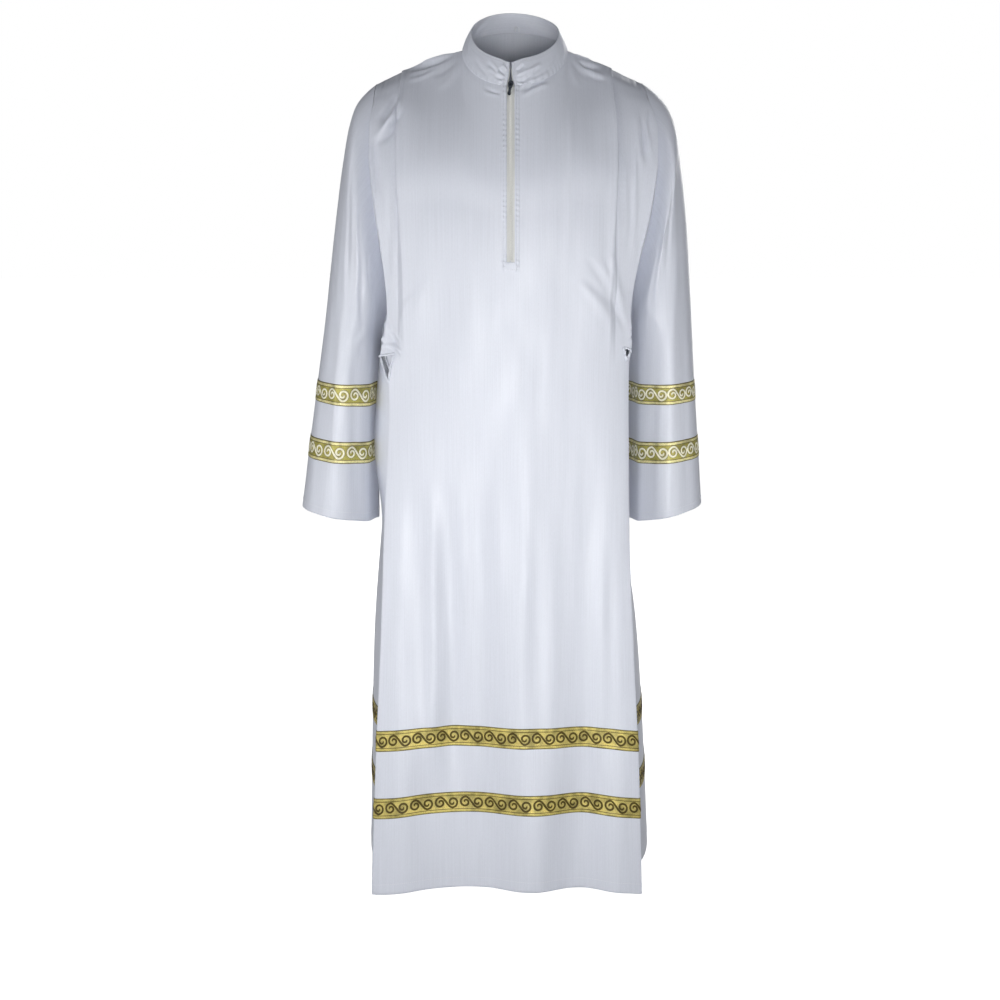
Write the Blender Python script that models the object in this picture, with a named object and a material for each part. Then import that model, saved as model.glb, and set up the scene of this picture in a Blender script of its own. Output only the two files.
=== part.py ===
# White satin robe with a stand collar, a half zip and gold galloon bands, worn with no wearer.
# Metres, +Z up, +X to the right of someone facing it, -Y towards them.
# The origin is the middle of the neck's base, where the shoulders carry it.
# Run with: blender --background --python part.py
import math

import bpy
import numpy as np
from mathutils import Matrix, Vector

for old in list(bpy.data.objects):
    bpy.data.objects.remove(old, do_unlink=True)

# Cloth
CLOTH = 0.0012            # thickness of a panel's wall
COLLAR_CLOTH = 0.0020     # two layers and a stiffener
BAND_CLOTH = 0.0010       # galloon
GAP = 0.0003              # clearance of pieces that touch
SEAM = CLOTH + GAP        # from one panel's middle surface to the next one's at a seam
CLOTH_COLOUR = (0.80, 0.82, 0.87)
GOLD_COLOUR = (0.58, 0.43, 0.08)
TAPE_COLOUR = (0.62, 0.63, 0.58)
COIL_COLOUR = (0.72, 0.73, 0.67)
DARK_METAL_COLOUR = (0.03, 0.035, 0.04)

# Heights, as distances below the neck's base
UNDERARM = 0.385
ZIP_END = 0.321
HEM = 1.305
PLEAT_TOP = 0.463         # top of the side pleats, with the hand slit
UPPER_BAND = (1.0420, 1.0750)
LOWER_BAND = (1.1490, 1.1820)

# Neck: a slanting oval, not quite even about the zip
NECK_LEFT = 0.0735
NECK_RIGHT = 0.0880
NECK_FRONT = 0.0900
NECK_BACK = 0.0650
NECK_SIDE_DROP = 0.0020
NECK_FRONT_SLOPE = 0.63
NECK_BACK_SLOPE = 0.49
SHOULDER_SLOPE_LEFT = 0.25
SHOULDER_SLOPE_RIGHT = 0.42
SHOULDER_CURVE_LEFT = 1.00    # the slope's growth, per metre out from the neck
SHOULDER_CURVE_RIGHT = 0.10
RIM_LEFT = 0.0600
RIM_RIGHT = 0.0745
RIM_FRONT = 0.0750
RIM_BACK = 0.0700
RIM_SIDE_HEIGHT = 0.0255
RIM_FRONT_SLOPE = 0.60
RIM_BACK_SLOPE = 0.50
NOTCH_DEPTH = 0.0055
NOTCH_WIDTH = 0.0120
COLLAR_END_BASE = 0.0052  # half the space between the collar's ends at the base, and at the rim
COLLAR_END_RIM = 0.0013
COLLAR_END_CURVE = 1.6    # the ends part mostly near the base
COLLAR_LIFT = 0.0021      # from the neckline to the collar's lower edge
COLLAR_BOW = 0.0016       # how far it bows out at half its height

# Zip
SLOT_HALF = 0.0063        # half the width that shows between the turned edges
TAPE_HALF = 0.0150
TAPE_CLOTH = 0.0008
TAPE_SPLIT = 0.0004       # half the space between the two tapes under the coil
TAPE_TAIL = 0.0080        # tape below the last tooth
TAPE_SHOWN = 0.0012       # tape beyond the collar's open ends
TAPE_DEPTH = 0.0026       # how far behind the cloth's middle surface they lie
COIL_HALF = 0.0027
COIL_HEIGHT = 0.0016
COIL_TOP = 0.0665         # drop of the first tooth below the slider, and of the last one
COIL_END = ZIP_END - 0.0030
SLIDER_LENGTH = 0.0120
SLIDER_TOP_HALF = 0.0041
SLIDER_TAIL_HALF = 0.0027
SLIDER_BACK = -0.0017     # the slider's back and face, off the cloth's middle
SLIDER_FACE = 0.0017
SLIDER_TURN = 8.0         # degrees that the slider leans, so that the pull hangs to the left
PIN_HALF = 0.00055        # half the pull's thickness, and of the bar in the slider's bridge
BRIDGE_HALF = 0.0011
BRIDGE_INNER = 0.0010
BRIDGE_OUTER = 0.0019
BRIDGE_SUNK = 0.0004      # its feet go this far into the slider's body
PIN_HEIGHT = SLIDER_FACE + BRIDGE_INNER
PULL_LENGTH = 0.0190
PULL_WINDOW = 0.0046
PULL_WINDOW_HALF = 0.0016
PULL_HALF = 0.0026
PULL_WAIST = 0.0019
PULL_SHOULDER = 0.0010    # the pull is full width this far below its window, and narrow below the next one
PULL_NARROW = 0.0030
PULL_WIDENS = 0.0065      # heights above its end where it widens again, is full width, and rounds off
PULL_WIDE = 0.0040
PULL_ROUNDS = 0.0018
PULL_CORNER = 0.0014
SLIDER_CORNER = 0.0014
SLIDER_ABOVE = 0.20       # it lies between this height on the collar's ends and this drop on the front
SLIDER_BELOW = 0.0660

# Hanging loop inside the back of the neck
LOOP_TURN = math.radians(82.5)      # where it stands round the neck
LOOP_HALF = 0.0030
LOOP_HEIGHT = 0.0100
LOOP_RADIUS = 0.0007
LOOP_FOOT = 0.0020        # height of its ends above the neck seam
LOOP_INSIDE = 0.0002      # clear of the collar, which curves
LOOP_SIDES = 6
LOOP_STEPS = 8


def table(columns, *rows):
    """A short table with named columns, each column an array."""
    return {name: np.array(values, dtype=float) for name, values in zip(columns.split(), zip(*rows))}


def smooth(rows, key, name, at):
    """Column `name` at `at` of column `key`, on a smooth curve through the rows."""
    keys = rows[key]
    values = rows[name]
    at = np.clip(np.asarray(at, dtype=float), keys[0], keys[-1])
    slopes = np.gradient(values, keys)
    i = np.clip(np.searchsorted(keys, at, side="right") - 1, 0, len(keys) - 2)
    width = keys[i + 1] - keys[i]
    t = (at - keys[i]) / width
    rise = t * t * (3 - 2 * t)
    leave = t * (1 - t) ** 2 * width * slopes[i]
    arrive = t * t * (t - 1) * width * slopes[i + 1]
    return values[i] + (values[i + 1] - values[i]) * rise + leave + arrive


def ease(t):
    """0 to 1, level at both ends."""
    t = np.clip(t, 0.0, 1.0)
    return t * t * (3 - 2 * t)


# The body's level sections. Front fold edges, front middle, back's widest place and back middle.
BODY = table(
    "drop left right front edge wide_left wide_right wide_y back",
    (0.045, 0.194, 0.192, 0.138, 0.078, 0.194, 0.192, 0.076, 0.090),
    (0.100, 0.212, 0.219, 0.146, 0.092, 0.208, 0.213, 0.090, 0.118),
    (0.156, 0.214, 0.224, 0.150, 0.100, 0.211, 0.221, 0.092, 0.132),
    (0.242, 0.206, 0.213, 0.152, 0.106, 0.208, 0.211, 0.092, 0.142),
    (0.314, 0.196, 0.197, 0.153, 0.110, 0.194, 0.193, 0.085, 0.147),
    (0.350, 0.192, 0.190, 0.153, 0.112, 0.185, 0.182, 0.070, 0.149),
    (0.385, 0.189, 0.185, 0.153, 0.113, 0.178, 0.172, 0.036, 0.150),
    (0.443, 0.188, 0.182, 0.153, 0.114, 0.181, 0.173, 0.010, 0.151),
    (0.511, 0.187, 0.182, 0.154, 0.118, 0.188, 0.176, 0.010, 0.153),
    (0.740, 0.195, 0.184, 0.160, 0.135, 0.209, 0.185, 0.055, 0.166),
    (0.915, 0.201, 0.192, 0.166, 0.146, 0.225, 0.211, 0.085, 0.180),
    (1.080, 0.208, 0.200, 0.174, 0.156, 0.232, 0.225, 0.105, 0.194),
    (1.193, 0.212, 0.205, 0.180, 0.162, 0.235, 0.232, 0.115, 0.203),
    (1.305, 0.216, 0.209, 0.186, 0.168, 0.238, 0.238, 0.122, 0.211),
)
# The side seam below the underarm, at the bottom of each inverted side pleat.
SIDE_SEAM = table(
    "drop left right forward",
    (0.385, 0.1780, 0.1730, 0.000),
    (0.420, 0.1765, 0.1700, 0.046),
    (0.463, 0.1730, 0.1660, 0.082),
    (0.506, 0.1670, 0.1580, 0.087),
    (0.600, 0.1660, 0.1560, 0.088),
    (0.740, 0.1710, 0.1580, 0.089),
    (0.915, 0.1770, 0.1650, 0.091),
    (1.080, 0.1840, 0.1720, 0.095),
    (1.305, 0.1910, 0.1800, 0.101),
)
# How far a panel has come forward or back from the shoulder line, by the part of its fall.
SHOULDER = table(
    "fall neck point",
    (0.000, 0.00, 0.00),
    (0.035, 0.13, 0.37),
    (0.085, 0.27, 0.60),
    (0.160, 0.46, 0.78),
    (0.270, 0.71, 0.91),
    (0.420, 0.94, 0.98),
    (0.600, 1.00, 1.00),
    (1.000, 1.00, 1.00),
)
TOP_EDGE = {-1: BODY["left"][0], 1: BODY["right"][0]}          # metres across of the place 1
FRONT_TOP = NECK_SIDE_DROP + NECK_FRONT_SLOPE * NECK_FRONT      # drop of a panel's middle at the neck
BACK_TOP = NECK_SIDE_DROP - NECK_BACK_SLOPE * NECK_BACK
SEAM_PLACE = 1.25         # a panel's face ends at the place 1 across, and its side turn at this one
HEM_DROOP = 0.014         # the front's lower corners hang lower than its middle
FRONT_ROUND = 2.6         # roundness of the front's section
EDGE_SHARE = 10           # the front's edge moves in and out, and the tucks beside it hardly do
BACK_ROUND = 2.5
ARMHOLE_ROUND = 2.2
EDGE_BULGE = 0.0015       # how far the front's side turns bow out
SETTLED_AT = 0.6          # part of the shoulder's width where its own curve starts to take over
FOLDS_END = 0.97          # the front's folds fade from this place across, over the next width
FOLDS_FADE = 0.20
FOLD_GROWTH = 0.8         # below 1, a fold grows faster near its top
FOLD_SPREAD = 0.35        # sideways share of a back fold's rise
SEAM_LAID = 12            # the back moves off the shoulder seam within 1 / 12 of its fall

# Sleeve rings from the armhole to the cuff: the outer and inner ends of each ring and its half depth.
SLEEVE_LEFT = table(
    "along outer_x outer_drop inner_x inner_drop depth",
    (0.00, 0.2070, 0.0530, 0.1800, 0.3850, 0.0800),
    (0.05, 0.2235, 0.0660, 0.1855, 0.3950, 0.0870),
    (0.10, 0.2390, 0.0850, 0.1905, 0.4040, 0.0950),
    (0.15, 0.2490, 0.1120, 0.1950, 0.4140, 0.0990),
    (0.23, 0.2605, 0.1690, 0.2000, 0.4300, 0.0995),
    (0.34, 0.2725, 0.2500, 0.2065, 0.4520, 0.0960),
    (0.46, 0.2840, 0.3405, 0.2075, 0.4740, 0.0920),
    (0.57, 0.2945, 0.4250, 0.2090, 0.4960, 0.0880),
    (0.66, 0.3070, 0.5110, 0.2105, 0.5160, 0.0850),
    (0.71, 0.3115, 0.5430, 0.2110, 0.5520, 0.0840),
    (0.80, 0.3200, 0.6000, 0.2120, 0.6080, 0.0820),
    (0.85, 0.3250, 0.6345, 0.2125, 0.6430, 0.0810),
    (0.92, 0.3305, 0.6760, 0.2125, 0.6900, 0.0800),
    (1.00, 0.3365, 0.7170, 0.2125, 0.7390, 0.0790),
)
SLEEVE_RIGHT = table(
    "along outer_x outer_drop inner_x inner_drop depth",
    (0.00, 0.2050, 0.0520, 0.1750, 0.3850, 0.0800),
    (0.05, 0.2230, 0.0650, 0.1795, 0.3950, 0.0870),
    (0.10, 0.2410, 0.0840, 0.1830, 0.4040, 0.0950),
    (0.15, 0.2530, 0.1080, 0.1855, 0.4140, 0.0990),
    (0.23, 0.2635, 0.1600, 0.1880, 0.4300, 0.0995),
    (0.34, 0.2755, 0.2500, 0.1900, 0.4520, 0.0960),
    (0.46, 0.2835, 0.3450, 0.1910, 0.4740, 0.0920),
    (0.57, 0.2890, 0.4250, 0.1910, 0.4960, 0.0880),
    (0.66, 0.2945, 0.5110, 0.1910, 0.5160, 0.0850),
    (0.71, 0.2970, 0.5430, 0.1910, 0.5480, 0.0840),
    (0.80, 0.3015, 0.6000, 0.1910, 0.6080, 0.0820),
    (0.85, 0.3045, 0.6345, 0.1910, 0.6430, 0.0810),
    (0.92, 0.3075, 0.6760, 0.1905, 0.6900, 0.0800),
    (1.00, 0.3105, 0.7120, 0.1905, 0.7390, 0.0790),
)
ARMHOLE_BULGE_LEFT = 0.018    # how far the armhole's curve bows out at mid height
ARMHOLE_BULGE_RIGHT = 0.030
BULGE_ENDS = 0.35             # where along the sleeve that bow has gone
SLEEVE_CLEAR = 1.25           # seams between the sleeve's edge and the armhole's
CLEAR_ENDS = 0.05

# Soft upright folds: where each starts, its place and half width at the top and hem, and its height.
FRONT_FOLDS = table(
    "top x_top x_hem wide_top wide_hem rise",
    (0.42, -0.150, -0.178, 0.022, 0.040, 0.012),
    (0.50, -0.058, -0.056, 0.040, 0.070, -0.015),
    (0.36, 0.012, 0.030, 0.030, 0.052, 0.018),
    (0.55, 0.095, 0.112, 0.026, 0.044, -0.013),
    (0.42, 0.146, 0.166, 0.020, 0.036, 0.010),
)
BACK_FOLDS = table(
    "top x_top x_hem wide_top wide_hem rise",
    (0.30, -0.150, -0.170, 0.028, 0.044, 0.016),
    (0.38, -0.085, -0.098, 0.026, 0.046, -0.015),
    (0.20, -0.030, -0.034, 0.030, 0.050, 0.018),
    (0.42, 0.030, 0.036, 0.024, 0.044, -0.014),
    (0.25, 0.088, 0.100, 0.030, 0.048, 0.017),
    (0.40, 0.146, 0.168, 0.024, 0.042, -0.012),
)
SLEEVE_FOLD_RISE = 0.007
SLEEVE_FOLD_GROWS = 0.4       # part of the sleeve over which a fold reaches its height
SLEEVE_BACK_SHARE = -0.8      # the back's folds lie the other way round
SLEEVE_RAIL_FLAT = 6          # power that keeps the folds off the rails
# Folds of a sleeve: place between the rails at the top and the cuff, and width.
SLEEVE_FOLDS = table(
    "start c_top c_cuff wide rise",
    (0.15, -0.30, -0.52, 0.22, -1.0),
    (0.30, 0.20, 0.10, 0.26, 0.8),
    (0.10, 0.62, 0.55, 0.18, -0.6),
)
# Tucks from the shoulder seam: place across, where they start to open, are open and are flat.
TUCKS = table(
    "x hold open flat",
    (-0.1660, 0.12, 0.385, 0.50),
    (0.1550, 0.12, 0.385, 0.50),
)
TUCK_HALF = 0.012
# One tuck's section, from the middle of the panel outwards: how far over, and how far proud.
TUCK_SECTION = table(
    "q over proud",
    (-1.00, -0.0120, 0.0060),
    (-0.62, -0.0045, 0.0062),
    (-0.30, 0.0008, 0.0062),
    (-0.12, 0.0022, 0.0052),
    (0.04, 0.0006, 0.0040),
    (0.28, -0.0038, 0.0024),
    (0.42, -0.0050, 0.0012),
    (0.56, -0.0038, 0.0000),
    (0.78, 0.0020, 0.0000),
    (1.00, 0.0120, 0.0000),
)
TUCK_BLEND = 0.055        # the panel settles from the tuck's height over this width
TUCK_SEWN = 0.70          # part of the height left where the shoulder seam holds it flat
TUCK_SEWN_TO = (0.045, 0.060)       # drop where that starts to ease, and over what drop


def side(a, left, right):
    """The left or the right value, by the sign of the place across."""
    return np.where(np.asarray(a) < 0, left, right)


def neckline(x, depth, slope):
    """Forward distance and drop of the neck's base at x; both are those of the shoulder outside it."""
    half = side(x, NECK_LEFT, NECK_RIGHT)
    out = depth * np.sqrt(np.clip(1 - (x / half) ** 2, 0.0, 1.0))
    beyond = np.clip(np.abs(x) - half, 0.0, None)
    sunk = side(x, SHOULDER_SLOPE_LEFT, SHOULDER_SLOPE_RIGHT) * beyond
    curved = side(x, SHOULDER_CURVE_LEFT, SHOULDER_CURVE_RIGHT) * beyond ** 2
    return out, NECK_SIDE_DROP + slope * out + sunk + curved


def rail(rows, along, hand):
    """Middle, half vector towards the outer end and half depth of the sleeve ring at `along`."""
    outer_x = hand * smooth(rows, "along", "outer_x", along)
    outer_z = -smooth(rows, "along", "outer_drop", along)
    inner_x = hand * smooth(rows, "along", "inner_x", along)
    inner_z = -smooth(rows, "along", "inner_drop", along)
    middle = ((outer_x + inner_x) / 2, (outer_z + inner_z) / 2)
    reach = ((outer_x - inner_x) / 2, (outer_z - inner_z) / 2)
    return middle, reach, smooth(rows, "along", "depth", along)


def armhole(hand, fall):
    """Place and half depth of the armhole's curve, from the shoulder (fall 0) to the underarm (1)."""
    rows = SLEEVE_LEFT if hand < 0 else SLEEVE_RIGHT
    bulge = ARMHOLE_BULGE_LEFT if hand < 0 else ARMHOLE_BULGE_RIGHT
    middle, reach, depth = rail(rows, 0.0, hand)
    c = 1 - 2 * np.asarray(fall, dtype=float)
    x = middle[0] + reach[0] * c + hand * bulge * (1 - c * c)
    z = middle[1] + reach[1] * c
    return x, z, depth * np.clip(1 - np.abs(c) ** ARMHOLE_ROUND, 0.0, 1.0) ** (1 / ARMHOLE_ROUND)


def tuck_shift(a, drop):
    """Sideways and outward shift of the front by its two tucks at the place a (metres across)."""
    over = np.zeros_like(a)
    proud = np.zeros_like(a)
    for x, hold, gone, flat in zip(TUCKS["x"], TUCKS["hold"], TUCKS["open"], TUCKS["flat"]):
        hand = math.copysign(1.0, x)
        q = (hand * a - abs(x)) / TUCK_HALF
        closed = 1 - ease((drop - hold) / (gone - hold))
        raised = 1 - ease((drop - gone) / (flat - gone))
        raised = raised * (TUCK_SEWN + (1 - TUCK_SEWN) * ease((drop - TUCK_SEWN_TO[0]) / TUCK_SEWN_TO[1]))
        inside = np.abs(q) <= 1
        folded = np.interp(q, TUCK_SECTION["q"], TUCK_SECTION["over"])
        over = over + np.where(inside, hand * closed * (folded - q * TUCK_HALF), 0.0)
        settle = TUCK_SECTION["proud"][0] * (1 - ease((-1 - q) * TUCK_HALF / TUCK_BLEND))
        height = np.where(q < -1, settle, np.interp(q, TUCK_SECTION["q"], TUCK_SECTION["proud"]))
        proud = proud + raised * np.where(q > 1, 0.0, height) * (hand * a > 0)
    return over, proud


def fold_rise(folds, x, drop):
    """Outward rise of the soft folds at x and drop."""
    rise = np.zeros_like(x)
    for top, x_top, x_hem, wide_top, wide_hem, full in zip(*(folds[name] for name in folds)):
        grown = ease((drop - top) / (HEM - top)) ** FOLD_GROWTH
        place = x_top + (x_hem - x_top) * grown
        width = wide_top + (wide_hem - wide_top) * grown
        rise = rise + full * grown * np.exp(-((x - place) / width) ** 2)
    return rise


def panel_drop(x_top, slope, depth, centre_top, line):
    """Drop and fall of a panel's point: spread from the shoulder to the underarm, then level."""
    _, top = neckline(x_top, depth, slope)
    fall = np.clip((line - centre_top) / (UNDERARM - centre_top), 0.0, 1.0)
    return np.where(line < UNDERARM, top + (UNDERARM - top) * fall, line), fall


def shoulder_out(a, fall):
    """How far out a panel is at this fall: slower by the neck, rounder at the shoulder's point."""
    near = smooth(SHOULDER, "fall", "neck", fall)
    far = smooth(SHOULDER, "fall", "point", fall)
    return near + (far - near) * ease((np.abs(a) - SETTLED_AT) / (1 - SETTLED_AT))


def seam_point(hand, fall, drop):
    """The panel's side edge: the armhole above the underarm and the side seam below it."""
    rows = SIDE_SEAM
    below = drop > UNDERARM
    arm_x, arm_z, arm_out = armhole(hand, fall)
    column = "left" if hand < 0 else "right"
    x = np.where(below, hand * smooth(rows, "drop", column, drop), arm_x)
    forward = smooth(rows, "drop", "forward", drop)
    return x, np.where(below, -drop, arm_z), arm_out, forward, below


def front_base(a, line):
    """Front panel without tucks and folds; a runs from -SEAM_PLACE on the left to SEAM_PLACE."""
    a, line = np.broadcast_arrays(np.asarray(a, dtype=float), np.asarray(line, dtype=float))
    top_edge = side(a, TOP_EDGE[-1], TOP_EDGE[1])
    face = np.clip(a, -1.0, 1.0)
    drop, fall = panel_drop(face * top_edge, NECK_FRONT_SLOPE, NECK_FRONT, FRONT_TOP, line)
    edge = side(a, smooth(BODY, "drop", "left", drop), smooth(BODY, "drop", "right", drop))
    middle_y = smooth(BODY, "drop", "front", drop)
    edge_y = smooth(BODY, "drop", "edge", drop)
    forward = edge_y + (middle_y - edge_y) * (1 - np.abs(face) ** FRONT_ROUND)
    neck_y, _ = neckline(face * top_edge, NECK_FRONT, NECK_FRONT_SLOPE)
    out = shoulder_out(a, fall)
    x = face * top_edge + np.sign(face) * (edge - top_edge) * np.abs(face) ** EDGE_SHARE
    y = -(neck_y + (forward - neck_y) * out)
    z = -drop - HEM_DROOP * ease((drop - PLEAT_TOP) / (HEM - PLEAT_TOP)) * face ** 4
    turn = np.clip((np.abs(a) - 1) / (SEAM_PLACE - 1), 0.0, 1.0)
    for hand in (-1, 1):
        arm_x, arm_z, arm_out, seam_y, below = seam_point(hand, fall, drop)
        seam_forward = np.where(below, seam_y, arm_out)
        near = (turn > 0) & (a * hand > 0)
        round_out = EDGE_BULGE * np.sin(math.pi * turn) * ease(fall * SEAM_LAID / 2)
        x = np.where(near, x + (arm_x - x) * turn + hand * round_out, x)
        y = np.where(near, y + (-seam_forward - y) * turn, y)
        z = np.where(near, z + (arm_z - z) * turn, z)
    return np.stack([x, y, z], axis=-1), drop


def front_point(a, line):
    """Middle surface of the front panel at `a` across and the level `line` of its middle."""
    a, line = np.broadcast_arrays(np.asarray(a, dtype=float), np.asarray(line, dtype=float))
    step = 0.004
    base, drop = front_base(a, line)
    across = front_base(a + step, line)[0] - front_base(a - step, line)[0]
    down = front_base(a, line + step)[0] - front_base(a, line - step)[0]
    normal = np.cross(down, across)
    normal /= np.linalg.norm(normal, axis=-1, keepdims=True)
    half = side(a, TOP_EDGE[-1], TOP_EDGE[1])
    over, proud = tuck_shift(a * half, drop)
    moved, drop = front_base(a + over / half, line)
    x = moved[..., 0]
    inside = 1 - ease((np.abs(a) - FOLDS_END) / FOLDS_FADE)
    return moved + normal * (proud + inside * fold_rise(FRONT_FOLDS, x, drop))[..., None]


def back_point(a, line):
    """Middle surface of the back panel; a runs as on the front, and |a| = 1 is its widest place."""
    a, line = np.broadcast_arrays(np.asarray(a, dtype=float), np.asarray(line, dtype=float))
    face = np.clip(a, -1.0, 1.0)
    top_edge = side(a, BODY["wide_left"][0], BODY["wide_right"][0])
    angle = face * math.pi / 2
    swing = np.sign(face) * np.abs(np.sin(angle)) ** (2 / BACK_ROUND)
    bow = np.abs(np.cos(angle)) ** (2 / BACK_ROUND)
    drop, fall = panel_drop(swing * top_edge, -NECK_BACK_SLOPE, NECK_BACK, BACK_TOP, line)
    wide = side(a, smooth(BODY, "drop", "wide_left", drop), smooth(BODY, "drop", "wide_right", drop))
    wide_y = smooth(BODY, "drop", "wide_y", drop)
    back_y = smooth(BODY, "drop", "back", drop)
    out = shoulder_out(swing, fall)
    neck_y, _ = neckline(swing * top_edge, NECK_BACK, -NECK_BACK_SLOPE)
    x = swing * wide
    level_y = wide_y + (back_y - wide_y) * bow
    y = neck_y + (level_y - neck_y) * out
    z = -drop
    rise = fold_rise(BACK_FOLDS, x, drop) * bow
    x = x + rise * swing * FOLD_SPREAD
    y = y + rise + SEAM * (1 - ease(fall * SEAM_LAID))
    turn = np.clip((np.abs(a) - 1) / (SEAM_PLACE - 1), 0.0, 1.0)
    for hand in (-1, 1):
        arm_x, arm_z, arm_out, seam_y, below = seam_point(hand, fall, drop)
        seam_back = np.where(below, -seam_y, arm_out) + SEAM
        near = (turn > 0) & (a * hand > 0)
        corner_x = np.where(below, x, (x + arm_x) / 2)
        corner_y = np.where(below, -seam_y + SEAM, (y + seam_back) / 2)
        keep = (1 - turn) ** 2
        pull = 2 * turn * (1 - turn)
        x = np.where(near, keep * x + pull * corner_x + turn ** 2 * arm_x, x)
        y = np.where(near, keep * y + pull * corner_y + turn ** 2 * seam_back, y)
        z = np.where(near, z + (arm_z - z) * turn, z)
    return np.stack([x, y, z], axis=-1)


def sleeve_point(hand, c, front, along):
    """Middle surface of a sleeve: c from 1 on the outer rail to -1 on the inner, front or back of it."""
    rows = SLEEVE_LEFT if hand < 0 else SLEEVE_RIGHT
    middle, reach, depth = rail(rows, along, hand)
    out = depth * np.clip(1 - np.abs(c) ** ARMHOLE_ROUND, 0.0, 1.0) ** (1 / ARMHOLE_ROUND)
    bow = ARMHOLE_BULGE_LEFT if hand < 0 else ARMHOLE_BULGE_RIGHT
    bulge = bow * (1 - ease(along / BULGE_ENDS))
    x = middle[0] + reach[0] * c + hand * bulge * (1 - c * c)
    z = middle[1] + reach[1] * c
    sag = SLEEVE_FOLD_RISE * sleeve_fold(c, front, along)
    y = -front * (out + sag)
    shift = SEAM * SLEEVE_CLEAR * (1 - ease(along / CLEAR_ENDS))
    return np.stack([x + hand * shift, y, z], axis=-1)


def sleeve_fold(c, front, along):
    """Rise of the sleeve's soft folds, as a part of SLEEVE_FOLD_RISE."""
    total = np.zeros_like(np.asarray(c, dtype=float) + np.asarray(along, dtype=float))
    for start, c_top, c_cuff, wide, rise in zip(*(SLEEVE_FOLDS[name] for name in SLEEVE_FOLDS)):
        grown = ease((along - start) / SLEEVE_FOLD_GROWS)
        place = c_top + (c_cuff - c_top) * along
        place = np.where(front > 0, place, place * SLEEVE_BACK_SHARE)
        total = total + rise * grown * np.exp(-((c - place) / wide) ** 2)
    return total * np.clip(1 - np.abs(c) ** SLEEVE_RAIL_FLAT, 0.0, 1.0)


def collar_point(turn, up):
    """Collar's middle surface: turn is the angle round the neck from the right side, up from 0 to 1."""
    turn, up = np.broadcast_arrays(np.asarray(turn, dtype=float), np.asarray(up, dtype=float))
    c = np.cos(turn)
    s = np.sin(turn)
    base_x = np.where(c > 0, NECK_RIGHT, NECK_LEFT) * c
    base_y = np.where(s < 0, NECK_FRONT, NECK_BACK) * s
    base_z = -NECK_SIDE_DROP + np.where(s < 0, NECK_FRONT_SLOPE, NECK_BACK_SLOPE) * base_y
    rim_x = np.where(c > 0, RIM_RIGHT, RIM_LEFT) * c
    rim_y = np.where(s < 0, RIM_FRONT, RIM_BACK) * s
    rim_z = RIM_SIDE_HEIGHT + np.where(s < 0, RIM_FRONT_SLOPE, RIM_BACK_SLOPE) * rim_y
    rim_z = rim_z - NOTCH_DEPTH * np.exp(-(rim_x / NOTCH_WIDTH) ** 2) * (s < 0)
    base = np.stack([base_x, base_y, base_z], axis=-1)
    rim = np.stack([rim_x, rim_y, rim_z], axis=-1)
    lift = COLLAR_LIFT / np.linalg.norm(rim - base, axis=-1)
    part = (lift + (1 - lift) * up)[..., None]
    bow = (COLLAR_BOW * np.sin(math.pi * up))[..., None] * np.stack([c, s, 0 * c], axis=-1)
    return base + (rim - base) * part + bow


def collar_end(up):
    """Half the space between the collar's ends at the height `up`."""
    return COLLAR_END_RIM + (COLLAR_END_BASE - COLLAR_END_RIM) * (1 - up) ** COLLAR_END_CURVE


def collar_turns(count, up):
    """Angles round the collar, from its right end to its left end at the height `up`."""
    half_x = collar_end(np.asarray(up))
    width_right = NECK_RIGHT + (RIM_RIGHT - NECK_RIGHT) * np.asarray(up)
    width_left = NECK_LEFT + (RIM_LEFT - NECK_LEFT) * np.asarray(up)
    first = -math.pi / 2 + np.arcsin(half_x / width_right)
    last = 1.5 * math.pi - np.arcsin(half_x / width_left)
    part = np.linspace(0, 1, count)
    return first[..., None] + (last - first)[..., None] * part


def grid_normals(points, closed):
    """Unit normals of a grid of points, rows down and columns anticlockwise seen from above."""
    if closed:
        across = np.roll(points, -1, axis=1) - np.roll(points, 1, axis=1)
    else:
        across = np.gradient(points, axis=1)
    down = np.gradient(points, axis=0)
    normal = np.cross(down, across)
    return normal / np.linalg.norm(normal, axis=2, keepdims=True)


def material(name, colour, roughness, metallic):
    """Plain surface of one piece."""
    made = bpy.data.materials.new(name)
    made.use_nodes = True
    shader = made.node_tree.nodes["Principled BSDF"]
    shader.inputs["Base Color"].default_value = (*colour, 1.0)
    shader.inputs["Roughness"].default_value = roughness
    shader.inputs["Metallic"].default_value = metallic
    made.diffuse_color = (*colour, 1.0)
    return made


def add_piece(name, vertices, faces, finish):
    """One named solid with its own material."""
    mesh = bpy.data.meshes.new(name)
    mesh.from_pydata([tuple(v) for v in vertices], [], faces)
    mesh.validate()
    piece = bpy.data.objects.new(name, mesh)
    mesh.materials.append(material(name, *finish))
    bpy.context.scene.collection.objects.link(piece)
    return piece


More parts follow.
